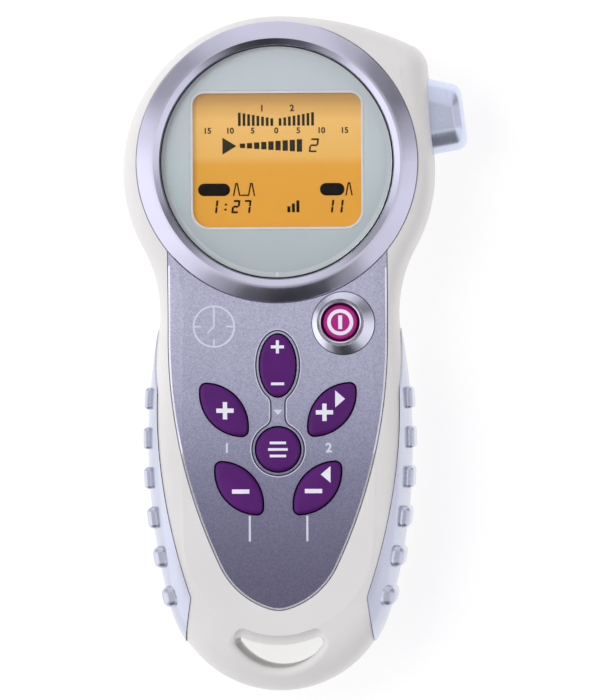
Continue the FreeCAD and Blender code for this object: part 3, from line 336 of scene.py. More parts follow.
def cell_label():
    """A plain two-tone sleeve: the contact end a different colour from the rest."""
    s = Shader("cell_label", metallic=0.4, coat_weight=0.5, coat_roughness=0.15)
    along = s.separate(s.place, 1)
    tone = s.ramp(s.span(along, -0.0335, -0.0330), [(0.0, srgb(196, 160, 84)), (1.0, srgb(34, 38, 62))])
    s.colour(s.mix(0.5, tone, s.tones(s.noise(500, 3), (225, 225, 225), (255, 255, 255)), "MULTIPLY"))
    s.rough(s.noise(600, 3), 0.25, 0.36)
    return s.material


MATERIALS = {
    "shell_white": shell_white(),
    "lilac_panel": lilac_panel(),
    "lilac_plated": satin_lilac("lilac_plated", (206, 209, 224), (212, 215, 229)),
    "silver_plated": silver_plated(),
    "lens_clear": clear_lens(),
    "mask_print": mask_print(),
    "frame_pale": frame_pale(),
    "lcd_amber": lcd_amber(),
    "lightguide": plastic("lightguide", (236, 224, 190), (246, 236, 208), 0.2, 0.3),
    "strip_rubber": plastic("strip_rubber", (180, 180, 186), (200, 200, 206), 0.6, 0.8),
    "key_purple": silicone("key_purple", (80, 22, 102), (90, 26, 114)),
    "key_magenta": silicone("key_magenta", (176, 34, 130), (190, 44, 142)),
    "sheet_grey": plastic("sheet_grey", (60, 58, 66), (74, 72, 80), 0.6, 0.75),
    "board_green": board_green(),
    "chip_black": plastic("chip_black", (26, 26, 28), (38, 38, 41), 0.5, 0.65),
    "core_grey": plastic("core_grey", (52, 52, 56), (72, 72, 76), 0.45, 0.7),
    "can_metal": brushed("can_metal", (186, 188, 194), (214, 216, 220)),
    "cell_label": cell_label(),
    "dome_metal": brushed("dome_metal", (190, 190, 192), (214, 214, 216)),
    "spring_steel": brushed("spring_steel", (176, 176, 182), (206, 206, 210), 0.2, 0.3),
    "socket_black": plastic("socket_black", (22, 22, 24), (34, 34, 37), 0.3, 0.45),
    "screw_steel": brushed("screw_steel", (150, 150, 154), (188, 188, 192)),
}
NODE_LOOKS = {
    "bezel_ring": turned_ring(),
    "boost_button": satin_lilac("lilac_button", (218, 226, 246), (224, 231, 250)),
}
PRINT_WHITE = plastic("print_white", (236, 236, 244), (248, 248, 252), 0.35, 0.45)
PRINT_PALE = plastic("print_pale", (214, 214, 230), (226, 226, 240), 0.35, 0.45)
PRINT_LCD = plastic("print_lcd", (50, 48, 38), (58, 56, 46), 0.4, 0.5, specular_ior_level=0.1)
PRINT_BLACK = plastic("print_black", (14, 11, 8), (20, 16, 12), 0.4, 0.5, specular_ior_level=0.1)
# Dark lines of painted shade, laid where a gap or a groove holds only shade.
PAINTED_GAP_SHADE = plastic("painted_gap_shade", (46, 44, 62), (58, 56, 74), 0.5, 0.6)
# Bright lines of painted highlight along the fascia's edge, with a brushed silver look.
PAINTED_EDGE_HIGHLIGHT = brushed("painted_edge_highlight", (226, 226, 236), (244, 244, 250), 0.18, 0.26)


def dress_cad_nodes():
    for part in frame["record"]["subparts"]:
        node = frame["nodes"][part["node"]]
        look = NODE_LOOKS.get(part["node"], MATERIALS[part["material_slot"]])
        node.data.materials.clear()
        node.data.materials.append(look)


# ---------------------------------------------------------------- mesh helpers


def polar(middle, radius, angle):
    turn = math.radians(angle)
    return (middle[0] + radius * math.cos(turn), middle[1] + radius * math.sin(turn))


def arc_points(middle, radius, start, end, count):
    """Points along an arc, its last one left out."""
    step = (end - start) / count
    return [polar(middle, radius, start + step * i) for i in range(count)]


def circle(middle, radius, count=64):
    return arc_points(middle, radius, 0, 360, count)


def rectangle(x, y, width, height):
    w, h = width / 2, height / 2
    return [(x - w, y - h), (x + w, y - h), (x + w, y + h), (x - w, y + h)]


PRINT_THICK = 0.03
RAY_START = 40.0


def finish_mesh(name, bm, look, body, smooth=True):
    """Turns millimetres into metres and puts the mesh in the scene, riding on body."""
    bmesh.ops.recalc_face_normals(bm, faces=bm.faces)
    for vert in bm.verts:
        vert.co *= MM
    mesh = bpy.data.meshes.new(name)
    bm.to_mesh(mesh)
    bm.free()
    for face in mesh.polygons:
        face.use_smooth = smooth
    piece = bpy.data.objects.new(name, mesh)
    bpy.context.scene.collection.objects.link(piece)
    mesh.materials.append(look)
    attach(piece, body)
    return piece


def surface_of(item):
    """A function that gives the height of this object's upper surface, in millimetres."""
    bm = bmesh.new()
    bm.from_mesh(item.data)
    tree = BVHTree.FromBMesh(bm)
    bm.free()

    def height(x, y):
        hit = tree.ray_cast(Vector((x * MM, y * MM, RAY_START * MM)), Vector((0, 0, -1)))[0]
        return hit.z / MM

    return height


def slab(bm, points, height, up=PRINT_THICK, grid=None):
    """A closed thin plate: an outline laid on a surface, cut along a grid so that it can curve."""
    flat = bmesh.new()
    flat.faces.new([flat.verts.new((x, y, 0)) for x, y in points])
    bmesh.ops.triangulate(flat, faces=flat.faces)
    if grid:
        for axis in (0, 1):
            low = min(v.co[axis] for v in flat.verts)
            high = max(v.co[axis] for v in flat.verts)
            for i in range(1, int((high - low) / grid) + 1):
                place = Vector((0, 0, 0))
                place[axis] = low + i * grid
                normal = Vector((0, 0, 0))
                normal[axis] = 1
                parts = flat.verts[:] + flat.edges[:] + flat.faces[:]
                bmesh.ops.bisect_plane(flat, geom=parts, plane_co=place, plane_no=normal)
    upper, lower = {}, {}
    for vert in flat.verts:
        z = height(vert.co.x, vert.co.y)
        upper[vert] = bm.verts.new((vert.co.x, vert.co.y, z + up))
        lower[vert] = bm.verts.new((vert.co.x, vert.co.y, z - PRINT_THICK))
    for face in flat.faces:
        bm.faces.new([upper[v] for v in face.verts])
        bm.faces.new([lower[v] for v in reversed(face.verts)])
    for edge in flat.edges:
        if len(edge.link_faces) == 1:
            a, b = edge.verts
            bm.faces.new([upper[a], upper[b], lower[b], lower[a]])
    flat.free()


def print_on(name, outlines, height, look, body, grid=None, up=PRINT_THICK):
    """A printed mark that lies on a surface and rides on body."""
    bm = bmesh.new()
    for points in outlines:
        slab(bm, points, height, up=up, grid=grid)
    return finish_mesh(name, bm, look, body, smooth=False)


def band_on(name, inner, outer, height, look, body, closed=True, up=PRINT_THICK):
    """A thin line on a surface, between an inner and an outer row of points."""
    bm = bmesh.new()
    rows = []
    for p, q in zip(inner, outer):
        near, far = height(*p), height(*q)
        rows.append([
            bm.verts.new((*p, near + up)),
            bm.verts.new((*q, far + up)),
            bm.verts.new((*q, far - PRINT_THICK)),
            bm.verts.new((*p, near - PRINT_THICK)),
        ])
    pairs = list(zip(rows, rows[1:]))
    if closed:
        pairs.append((rows[-1], rows[0]))
    for a, b in pairs:
        for i in range(4):
            j = (i + 1) % 4
            bm.faces.new([a[i], a[j], b[j], b[i]])
    if not closed:
        bm.faces.new(rows[0])
        bm.faces.new(rows[-1])
    return finish_mesh(name, bm, look, body, smooth=False)


# ---------------------------------------------------------------- keys


LEAF_RADIUS = 8.55
LEAF_OFFSET = 5.1
LEAF_TIP = 1.15
LEAF_TURN = 48.8
MODE_RADIUS = 4.4
POWER_RADIUS = 3.4
POWER_EDGE = 0.5
LEAF_TIP_STEPS = 12
LEAF_SIDE_STEPS = 28
OVAL_STEPS = 80

CAP_HOLLOW = 0.4
CAP_DOME = 0.16
CAP_EDGE = 0.75
CAP_SMALL_EDGE = 0.1
CAP_EDGE_STEPS = 7
CAP_CROWN_RINGS = (0.8, 0.6, 0.4, 0.2)
MARK_GRID = 0.8

LEAF_KEYS = {"ch1_plus_key": -1, "ch2_plus_key": 1, "ch1_minus_key": -1, "ch2_minus_key": 1}
CH1_PLUS = (-10.5, -11.35)
CH1_MINUS = (-7.45, -27.45)
CH2_PLUS = (9.3, -11.75)
CH2_MINUS = (7.05, -27.4)
RIGHT_ARROW = (11.45, -9.1, 1.7)
LEFT_ARROW = (10.45, -24.1, 1.65)
ARROW_LENGTH = 1.95
MODE_BAR_WIDTH = 3.9
MODE_BAR_PITCH = 1.3
MODE_BAR_STROKE = 0.52
POWER_RING = (1.88, 2.6)
POWER_BAR = (0.78, 2.7)
POWER_GRID = 0.6
ROCKER_SIGN = 2.6
ROCKER_PLUS = (3.7, 0.6)
ROCKER_MINUS = (-3.65, 0.54)


def leaf_outline(middle, side):
    """The leaf key's outline, as a function of how far it is grown."""
    reach = math.sqrt((LEAF_RADIUS - LEAF_TIP) ** 2 - LEAF_OFFSET**2)
    meet = math.degrees(math.atan2(LEAF_OFFSET, reach))
    turn = math.radians(side * LEAF_TURN)

    def outline(grow):
        tip = LEAF_TIP + grow
        radius = LEAF_RADIUS + grow
        points = arc_points((reach, 0), tip, -meet, meet, LEAF_TIP_STEPS)
        points += arc_points((0, -LEAF_OFFSET), radius, meet, 180 - meet, LEAF_SIDE_STEPS)
        points += arc_points((-reach, 0), tip, 180 - meet, 180 + meet, LEAF_TIP_STEPS)
        points += arc_points((0, LEAF_OFFSET), radius, 180 + meet, 360 - meet, LEAF_SIDE_STEPS)
        return [
            (
                middle[0] + x * math.cos(turn) - y * math.sin(turn),
                middle[1] + x * math.sin(turn) + y * math.cos(turn),
            )
            for x, y in points
        ]

    return outline


def oval_outline(middle, half):
    """A round or oval key's outline, as a function of how far it is grown."""

    def outline(grow):
        turns = [2 * math.pi * i / OVAL_STEPS for i in range(OVAL_STEPS)]
        return [
            (middle[0] + (half[0] + grow) * math.cos(t), middle[1] + (half[1] + grow) * math.sin(t))
            for t in turns
        ]

    return outline


def cap_steps(crown, edge):
    """How far the key's outline is grown at each height, from its bottom up to the crown."""
    small = CAP_SMALL_EDGE
    steps = [
        (-CAP_HOLLOW, KEY_BOTTOM), (KEY_FLANGE, KEY_BOTTOM), (KEY_FLANGE, KEY_FLANGE_TOP - small),
        (KEY_FLANGE - small, KEY_FLANGE_TOP), (small, KEY_FLANGE_TOP), (0.0, KEY_FLANGE_TOP + small),
        (0.0, crown - edge),
    ]
    for i in range(CAP_EDGE_STEPS):
        angle = math.radians(90 * (i + 1) / CAP_EDGE_STEPS)
        steps.append((-edge * (1 - math.cos(angle)), crown - edge * (1 - math.sin(angle))))
    return steps


def key_cap(name, node, outline, look, high, edge=CAP_EDGE):
    """A moulded key: flange, wall, rounded edge and a slightly domed top."""
    middle = centre(node)
    crown = high - CAP_DOME
    bm = bmesh.new()
    rings = []
    for grow, z in cap_steps(crown, edge):
        rings.append([bm.verts.new((x, y, z)) for x, y in outline(grow)])
    rim = outline(-edge)
    for share in CAP_CROWN_RINGS:
        z = crown + CAP_DOME * (1 - share**2)
        rings.append([
            bm.verts.new((middle.x + (x - middle.x) * share, middle.y + (y - middle.y) * share, z))
            for x, y in rim
        ])
    for a, b in zip(rings, rings[1:]):
        for i in range(len(a)):
            j = (i + 1) % len(a)
            bm.faces.new([a[i], a[j], b[j], b[i]])
    summit = bm.verts.new((middle.x, middle.y, high))
    last = rings[-1]
    for i in range(len(last)):
        bm.faces.new([last[i], last[(i + 1) % len(last)], summit])
    bm.faces.new(list(reversed(rings[0])))
    cap = finish_mesh(name, bm, look, node)
    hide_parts(node)
    return cap


def plus_sign(x, y, size=3.45, stroke=0.86):
    """A bar across and two half bars that meet it from above and below."""
    short = (size - stroke) / 2
    offset = (size + stroke) / 4
    return [
        rectangle(x, y, size, stroke),
        rectangle(x, y + offset, stroke, short),
        rectangle(x, y - offset, stroke, short),
    ]


def minus_sign(x, y, size=3.45, stroke=0.86):
    return [rectangle(x, y, size, stroke)]


def triangle(x, y, half_base, length, direction):
    """A triangle that points right (1) or left (-1), its base centred at x, y."""
    rise = half_base * direction
    return [[(x, y - rise), (x + length * direction, y), (x, y + rise)]]


def make_caps():
    """Every key's cap, by its node."""
    purple, magenta = MATERIALS["key_purple"], MATERIALS["key_magenta"]
    caps = {}
    for node, side in LEAF_KEYS.items():
        outline = leaf_outline(centre(node), side)
        caps[node] = key_cap(f"{node}_cap", node, outline, purple, KEY_TOP)
    outline = oval_outline(centre("mode_key"), (MODE_RADIUS, MODE_RADIUS))
    caps["mode_key"] = key_cap("mode_key_cap", "mode_key", outline, purple, KEY_TOP)
    outline = oval_outline(centre("power_key"), (POWER_RADIUS, POWER_RADIUS))
    caps["power_key"] = key_cap(
        "power_key_cap", "power_key", outline, magenta, POWER_TOP, edge=POWER_EDGE)
    return caps


def make_leaf_marks(caps):
    marks = {
        "ch1_plus_key": plus_sign(*CH1_PLUS),
        "ch1_minus_key": minus_sign(*CH1_MINUS),
        "ch2_plus_key": plus_sign(*CH2_PLUS) + triangle(*RIGHT_ARROW, ARROW_LENGTH, 1),
        "ch2_minus_key": minus_sign(*CH2_MINUS) + triangle(*LEFT_ARROW, ARROW_LENGTH, -1),
    }
    for node, outlines in marks.items():
        print_on(f"{node}_mark", outlines, surface_of(caps[node]), PRINT_WHITE, node, grid=MARK_GRID)


def make_mode_mark(caps):
    middle = centre("mode_key")
    bars = []
    for shift in (-MODE_BAR_PITCH, 0, MODE_BAR_PITCH):
        width = MODE_BAR_WIDTH - abs(shift) / 2
        bars.append(rectangle(middle.x, middle.y + shift, width, MODE_BAR_STROKE))
    height = surface_of(caps["mode_key"])
    print_on("mode_key_mark", bars, height, PRINT_WHITE, "mode_key", grid=MARK_GRID)


def make_power_marks(caps):
    middle = centre("power_key")
    height = surface_of(caps["power_key"])
    inner, outer = (circle(middle, radius) for radius in POWER_RING)
    band_on("power_key_ring_mark", inner, outer, height, PRINT_WHITE, "power_key")
    bar = rectangle(middle.x, middle.y, *POWER_BAR)
    print_on("power_key_bar_mark", [bar], height, PRINT_WHITE, "power_key", grid=POWER_GRID)


def make_rocker_marks():
    """The rocker keeps its CAD body and gets its two signs."""
    middle = centre("level_rocker")
    plus_shift, plus_stroke = ROCKER_PLUS
    minus_shift, minus_stroke = ROCKER_MINUS
    signs = plus_sign(middle.x, middle.y + plus_shift, ROCKER_SIGN, plus_stroke)
    signs += minus_sign(middle.x, middle.y + minus_shift, ROCKER_SIGN, minus_stroke)
    height = surface_of(frame["nodes"]["level_rocker"])
    print_on("level_rocker_mark", signs, height, PRINT_WHITE, "level_rocker", grid=MARK_GRID)


# ---------------------------------------------------------------- prints on the fascia


CLOCK = (-12.67, 5.4)
CLOCK_RADIUS = 4.05
CLOCK_LINE = 0.36
CLOCK_TICK = 1.35
SHORT_HAND = [(-1.42, -1.2), (-1.18, -1.44), (0.14, -0.12), (-0.12, 0.12)]
SHORT_HAND_THICK = 0.04
BRACKET_X = (-5.7, 5.75)
BRACKET_Y = -34.85
BRACKET_LINE = (0.42, 5.1)
NECK_ARROW_HALF = 0.95
NECK_ARROW_Y = (-11.2, -12.25)
CHANNEL_NUMBERS = (("1", -10.2), ("2", 10.1))
CHANNEL_NUMBER_Y = -18.9
CHANNEL_NUMBER_SIZE = 2.6
NUMBER_BOLD = 0.03
MASK_TICK_HALF = 0.55
MASK_TICK_Y = (-22.7, -21.8)
NEAR_SAME = 0.0001


def number_on(name, text, x, y, size, z, look):
    """A plain printed number on the casing, centred at x, y."""
    curve = bpy.data.curves.new(name, "FONT")
    curve.body = text
    curve.size = size
    curve.align_x = "CENTER"
    curve.align_y = "CENTER"
    curve.extrude = PRINT_THICK
    curve.offset = size * NUMBER_BOLD
    holder = bpy.data.objects.new(name, curve)
    bm = bmesh.new()
    bm.from_mesh(holder.to_mesh())
    holder.to_mesh_clear()
    bpy.data.objects.remove(holder)
    bmesh.ops.remove_doubles(bm, verts=bm.verts, dist=NEAR_SAME)
    for vert in bm.verts:
        vert.co += Vector((x, y, z))
    return finish_mesh(name, bm, look, ROOT, smooth=False)


def make_clock(height):
    x, y = CLOCK
    edge = CLOCK_RADIUS - CLOCK_LINE / 2
    band_on("clock_icon_rim", circle(CLOCK, edge), circle(CLOCK, edge + CLOCK_LINE), height,
            PRINT_PALE, ROOT)
    shift = edge - CLOCK_TICK / 2
    ticks = [
        rectangle(x + shift, y, CLOCK_TICK, CLOCK_LINE),
        rectangle(x - shift, y, CLOCK_TICK, CLOCK_LINE),
        rectangle(x, y - shift, CLOCK_LINE, CLOCK_TICK),
        rectangle(x, y + edge / 2, CLOCK_LINE, edge),
    ]
    print_on("clock_icon_hands", ticks, height, PRINT_PALE, ROOT)
    hand = [(x + right, y + up) for right, up in SHORT_HAND]
    print_on("clock_icon_short_hand", [hand], height, PRINT_PALE, ROOT, up=SHORT_HAND_THICK)


def make_panel_prints():
    height = surface_of(frame["nodes"]["control_panel"])
    make_clock(height)
    lines = [rectangle(x, BRACKET_Y, *BRACKET_LINE) for x in BRACKET_X]
    print_on("bracket_lines", lines, height, PRINT_PALE, ROOT)
    base, tip = NECK_ARROW_Y
    arrow = [(NECK_ARROW_HALF, base), (0, tip), (-NECK_ARROW_HALF, base)]
    print_on("neck_arrow", [arrow], height, PRINT_PALE, ROOT)
    for text, x in CHANNEL_NUMBERS:
        number_on(f"channel_{text}", text, x, CHANNEL_NUMBER_Y, CHANNEL_NUMBER_SIZE, PANEL_TOP, PRINT_PALE)
    base, tip = (DISPLAY.y + y for y in MASK_TICK_Y)
    tick = [(DISPLAY.x - MASK_TICK_HALF, base), (DISPLAY.x + MASK_TICK_HALF, base), (DISPLAY.x, tip)]
    print_on("mask_tick", [tick], lambda x, y: MASK_TOP, PRINT_WHITE, ROOT)


# ---------------------------------------------------------------- display content


SLANT = 0.12
SEGMENTS = {"0": "abcdef", "1": "bc", "2": "abged", "3": "abgcd", "4": "fgbc", "5": "afgcd",
            "6": "afgedc", "7": "abc", "8": "abcdefg", "9": "abcdfg"}


def digit(symbol, x, y, width, height, stroke):
    """Seven-segment digit with its lower left corner at x, y."""
    half = height / 2
    gap = stroke * 0.18
    across = {"a": height, "g": half, "d": 0}
    upright = {"f": (0, half), "b": (width, half), "e": (0, 0), "c": (width, 0)}
    shapes = []
    for name in SEGMENTS[symbol]:
        if name in across:
            level = min(max(across[name], stroke / 2), height - stroke / 2)
            shape = rectangle(width / 2, level, width - stroke - 2 * gap, stroke)
        else:
            left, low = upright[name]
            left = min(max(left, stroke / 2), width - stroke / 2)
            shape = rectangle(left, low + half / 2, stroke, half - 2 * gap)
        shapes.append([(x + px + py * SLANT, y + py) for px, py in shape])
    return shapes


def pill(x, y, width, height, count=12):
    radius = height / 2
    left = arc_points((x - width / 2 + radius, y), radius, 90, 270, count)
    right = arc_points((x + width / 2 - radius, y), radius, -90, 90, count)
    return [left + [(x - width / 2 + radius, y - radius)] + right + [(x + width / 2 - radius, y + radius)]]


def pulse(x, y, width, height, stroke):
    """One narrow peak drawn as two slanted strokes and a short top."""
    foot, tip = width / 2, width / 6
    left = [(x - foot, y), (x - foot + stroke, y), (x - tip + stroke, y + height), (x - tip, y + height)]
    right = [(x + foot - stroke, y), (x + foot, y), (x + tip, y + height), (x + tip - stroke, y + height)]
    return [left, right, rectangle(x, y + height - stroke / 2, 2 * (tip - stroke) * 0.98, stroke)]


LCD_BARS = 8
LCD_BAR_X = (-7.5, 7.1)
LCD_BAR_PITCH = 0.925
LCD_BAR_Y = 45.35
LCD_BAR_WIDTH = 0.55
LCD_BAR_TALL = 2.65
LCD_BAR_FALL = 1.15
LCD_POINTER = (-10.9, 41.35, 1.7, 2.8)
LCD_LEVEL_DIGIT = (6.3, 40.05, 1.75, 2.75, 0.34)
LCD_STEPS = 9
LCD_STEP_X = -6.9
LCD_STEP_PITCH = 1.42
LCD_STEP_Y = 41.4
LCD_STEP_WIDTH = 1.05
LCD_STEP_TALL = (0.9, 0.2)
LCD_SCALE = (
    ("15", -13.9), ("10", -9.4), ("5", -4.85), ("0", -0.15), ("5", 4.25), ("10", 8.8), ("15", 13.45),
)
LCD_SCALE_Y = 44.35
LCD_SCALE_SIZE = 1.6
LCD_CHANNELS = (("1", -3.0), ("2", 3.0))
LCD_CHANNEL_Y = 48.8
LCD_CHANNEL_SIZE = 1.75
LCD_PILLS = ((-12.6, 6.4), (10.95, 4.9))
LCD_PILL_Y = 32.65
LCD_PILL_TALL = 2.5
LCD_LINKED_PULSE_X = (-8.1, -5.15)
LCD_LONE_PULSE_X = 14.3
LCD_PULSE = (31.4, 1.5, 2.6, 0.28)
LCD_PULSE_LINK = (-6.62, 31.54, 1.45, 0.28)
LCD_DIGITS = (("1", -13.6), ("2", -9.2), ("7", -7.0), ("1", 9.5), ("1", 11.4))
LCD_DIGIT = (27.95, 1.55, 2.65, 0.4)
LCD_COLON = ((-10.35, 28.7), (-10.25, 29.7))
LCD_DOT = 0.4
LCD_STAIRS = (1.2, 1.75, 2.35)
LCD_STAIR_X = 2.3
LCD_STAIR_PITCH = 0.9
LCD_STAIR_Y = 28.1
LCD_STAIR_WIDTH = 0.6


def lcd_height(x, y):
    return LCD_TOP


def make_lcd_upper():
    shapes = []
    left, right = LCD_BAR_X
    for i in range(LCD_BARS):
        tall = LCD_BAR_TALL - LCD_BAR_FALL * i / (LCD_BARS - 1)
        for x in (left + LCD_BAR_PITCH * i, right - LCD_BAR_PITCH * i):
            shapes.append(rectangle(x, LCD_BAR_Y + tall / 2, LCD_BAR_WIDTH, tall))
    shapes += triangle(*LCD_POINTER, 1)
    shapes += digit("2", *LCD_LEVEL_DIGIT)
    low, rise = LCD_STEP_TALL
    for i in range(LCD_STEPS):
        x = LCD_STEP_X + LCD_STEP_PITCH * i
        shapes.append(rectangle(x, LCD_STEP_Y, LCD_STEP_WIDTH, low + rise * i))
    print_on("lcd_upper", shapes, lcd_height, PRINT_LCD, ROOT)


def make_lcd_numbers():
    for i, (text, x) in enumerate(LCD_SCALE):
        number_on(f"lcd_scale_{i}", text, x, LCD_SCALE_Y, LCD_SCALE_SIZE, LCD_TOP, PRINT_LCD)
    for text, x in LCD_CHANNELS:
        number_on(f"lcd_channel_{text}", text, x, LCD_CHANNEL_Y, LCD_CHANNEL_SIZE, LCD_TOP, PRINT_LCD)


def make_lcd_lower():
    shapes = []
    for x, width in LCD_PILLS:
        shapes += pill(x, LCD_PILL_Y, width, LCD_PILL_TALL)
    for x in LCD_LINKED_PULSE_X:
        shapes += pulse(x, *LCD_PULSE)
    shapes.append(rectangle(*LCD_PULSE_LINK))
    shapes += pulse(LCD_LONE_PULSE_X, *LCD_PULSE)
    for symbol, x in LCD_DIGITS:
        shapes += digit(symbol, x, *LCD_DIGIT)
    shapes += [rectangle(x, y, LCD_DOT, LCD_DOT) for x, y in LCD_COLON]
    for i, tall in enumerate(LCD_STAIRS):
        x = LCD_STAIR_X + LCD_STAIR_PITCH * i
        shapes.append(rectangle(x, LCD_STAIR_Y + tall / 2, LCD_STAIR_WIDTH, tall))
    print_on("lcd_lower", shapes, lcd_height, PRINT_BLACK, ROOT)


# ---------------------------------------------------------------- lines round the fascia, keys and window, most of them painted highlight and painted shade


PANEL_HALF = 21.8
PANEL_STRAIGHT_Y = 3.0
PANEL_SIDE_RADIUS = 106.0
PANEL_BEND_RADIUS = 16.0
PANEL_TIP_RADIUS = 6.3
PANEL_TIP_Y = -51.1
PANEL_TOP_Y = 17.5

SURROUND_MODE_RADIUS = 5.35
SURROUND_ROCKER_HALF = (4.5, 7.1)
SURROUND_NECK_HALF = 1.55
SURROUND_FILLET = 2.0


def tangent_centre(a, from_a, b, from_b):
    """The point at the two given distances from a and b, on the right of the way from a to b."""
    gap = math.hypot(b[0] - a[0], b[1] - a[1])
    along = (from_a**2 - from_b**2 + gap**2) / (2 * gap)
    aside = math.sqrt(from_a**2 - along**2)
    unit = ((b[0] - a[0]) / gap, (b[1] - a[1]) / gap)
    return (a[0] + unit[0] * along + unit[1] * aside, a[1] + unit[1] * along - unit[0] * aside)


def heading(a, b):
    return math.degrees(math.atan2(b[1] - a[1], b[0] - a[0]))


def panel_edge(inset):
    """The fascia's open outline from its upper left end round the tip to the upper right."""
    half = PANEL_HALF - inset
    side_radius = PANEL_SIDE_RADIUS - inset
    bend_radius = PANEL_BEND_RADIUS - inset
    tip_radius = PANEL_TIP_RADIUS - inset
    side = (side_radius - half, PANEL_STRAIGHT_Y)
    tip = (0.0, PANEL_TIP_Y + PANEL_TIP_RADIUS)
    bend = tangent_centre(side, side_radius - bend_radius, tip, bend_radius - tip_radius)
    side_end = heading(side, bend) + 360
    bend_end = heading(bend, tip) + 360
    rows = int((PANEL_TOP_Y - PANEL_STRAIGHT_Y) / 0.5)
    points = [(-half, PANEL_TOP_Y - 0.5 * i) for i in range(rows)]
    points += arc_points(side, side_radius, 180, side_end, 50)
    points += arc_points(bend, bend_radius, side_end, bend_end, 30)
    points += arc_points(tip, tip_radius, bend_end, 540 - bend_end, 20)
    points += arc_points((-bend[0], bend[1]), bend_radius, 540 - bend_end, 540 - side_end, 30)
    points += arc_points((-side[0], side[1]), side_radius, 540 - side_end, 360, 50)
    points += [(half, PANEL_STRAIGHT_Y + 0.5 * i) for i in range(rows)]
    return points


def surround_outline(grow):
    """Closed outline round the rocker and the mode key, joined by a narrow neck."""
    mode, rocker = centre("mode_key"), centre("level_rocker")
    neck, fillet = SURROUND_NECK_HALF + grow, SURROUND_FILLET - grow
    radius = SURROUND_MODE_RADIUS + grow
    half = (SURROUND_ROCKER_HALF[0] + grow, SURROUND_ROCKER_HALF[1] + grow)
    low_y = mode.y + math.sqrt((radius + fillet) ** 2 - (neck + fillet) ** 2)
    start = heading((mode.x, mode.y), (neck + fillet, low_y))

    def beside_oval(turn):
        """The middle of a fillet that touches the oval at this turn, and its direction."""
        out = Vector((math.cos(turn) / half[0], math.sin(turn) / half[1])).normalized()
        x = half[0] * math.cos(turn) + fillet * out.x
        y = rocker.y + half[1] * math.sin(turn) + fillet * out.y
        return (x, y, out)

    low, high = -math.pi / 2, 0.0
    for _ in range(40):
        turn = (low + high) / 2
        if beside_oval(turn)[0] < neck + fillet:
            low = turn
        else:
            high = turn
    high_y, out = beside_oval(turn)[1:]
    lean = math.degrees(math.atan2(out.y, out.x))

    points = arc_points(mode, radius, 180 - start, 360 + start, 70)
    points += arc_points((neck + fillet, low_y), fillet, 180 + start, 180, 10)
    points += arc_points((neck + fillet, high_y), fillet, 180, 180 + lean, 10)
    sweep = math.pi - 2 * turn
    for i in range(80):
        angle = turn + sweep * i / 80
        points.append((half[0] * math.cos(angle), rocker.y + half[1] * math.sin(angle)))
    points += arc_points((-neck - fillet, high_y), fillet, -lean, 0, 10)
    points += arc_points((-neck - fillet, low_y), fillet, 0, -start, 10)
    return points


# Widths of the lines: painted shade round the window and in the groove, painted highlight along the
# fascia's edge, and the pale line.
EDGE_SHADE_INSETS = (0.1, 0.06)
EDGE_SHADE_STEPS = 128
EDGE_HIGHLIGHT = (0.4, 0.04)
EDGE_HIGHLIGHT_THICK = 0.04
GROOVE_SHADE = (-0.25, -0.05)
PALE_LINE = (0.02, 0.2)


def make_lens_edge_shade():
    """A dark line round the window's bevelled edge: painted shade where the lens meets the ring."""
    inner = DISPLAY_RADIUS - LENS_BEVEL

    def height(x, y):
        return LENS_TOP - max(math.hypot(x - DISPLAY.x, y - DISPLAY.y) - inner, 0.0)

    near = circle(DISPLAY, inner + EDGE_SHADE_INSETS[0], EDGE_SHADE_STEPS)
    far = circle(DISPLAY, DISPLAY_RADIUS - EDGE_SHADE_INSETS[1], EDGE_SHADE_STEPS)
    band_on("lens_edge_shade_line", near, far, height, PAINTED_GAP_SHADE, ROOT)


def make_edge_and_groove_lines():
    height = surface_of(frame["nodes"]["control_panel"])
    # Painted highlight: a bright line along the fascia's edge.
    near, far = (panel_edge(inset) for inset in EDGE_HIGHLIGHT)
    band_on("panel_edge_highlight", near, far, height, PAINTED_EDGE_HIGHLIGHT, ROOT, closed=False,
            up=EDGE_HIGHLIGHT_THICK)
    # Painted shade: a dark line in the groove round the rocker and the mode key.
    near, far = (surround_outline(grow) for grow in GROOVE_SHADE)
    band_on("surround_groove_shade", near, far, height, PAINTED_GAP_SHADE, ROOT)
    near, far = (surround_outline(grow) for grow in PALE_LINE)
    band_on("surround_pale_line", near, far, height, PRINT_PALE, ROOT)


# ---------------------------------------------------------------- light, floor and camera


SCALE = 5.026
IMAGE = (595, 700)
FRAME_CENTRE = Vector((3.96, 0.66, PANEL_TOP)) * MM
LENS = 520.0
SENSOR = 36.0
CAMERA_SIDE = 2.4
CAMERA_ROLL = -0.27


def make_camera():
    data = bpy.data.cameras.new("camera")
    data.lens = LENS
    data.sensor_width = SENSOR
    data.sensor_fit = "HORIZONTAL"
    distance = IMAGE[0] / SCALE * MM * LENS / SENSOR
    data.clip_end = 100
    camera = bpy.data.objects.new("camera", data)
    bpy.context.scene.collection.objects.link(camera)
    turn = Matrix.Rotation(math.radians(CAMERA_SIDE), 4, "Y")
    roll = Matrix.Rotation(math.radians(CAMERA_ROLL), 4, "Z")
    away = turn @ Vector((0, 0, distance))
    camera.matrix_world = Matrix.Translation(FRAME_CENTRE + away) @ turn @ roll
    bpy.context.scene.camera = camera


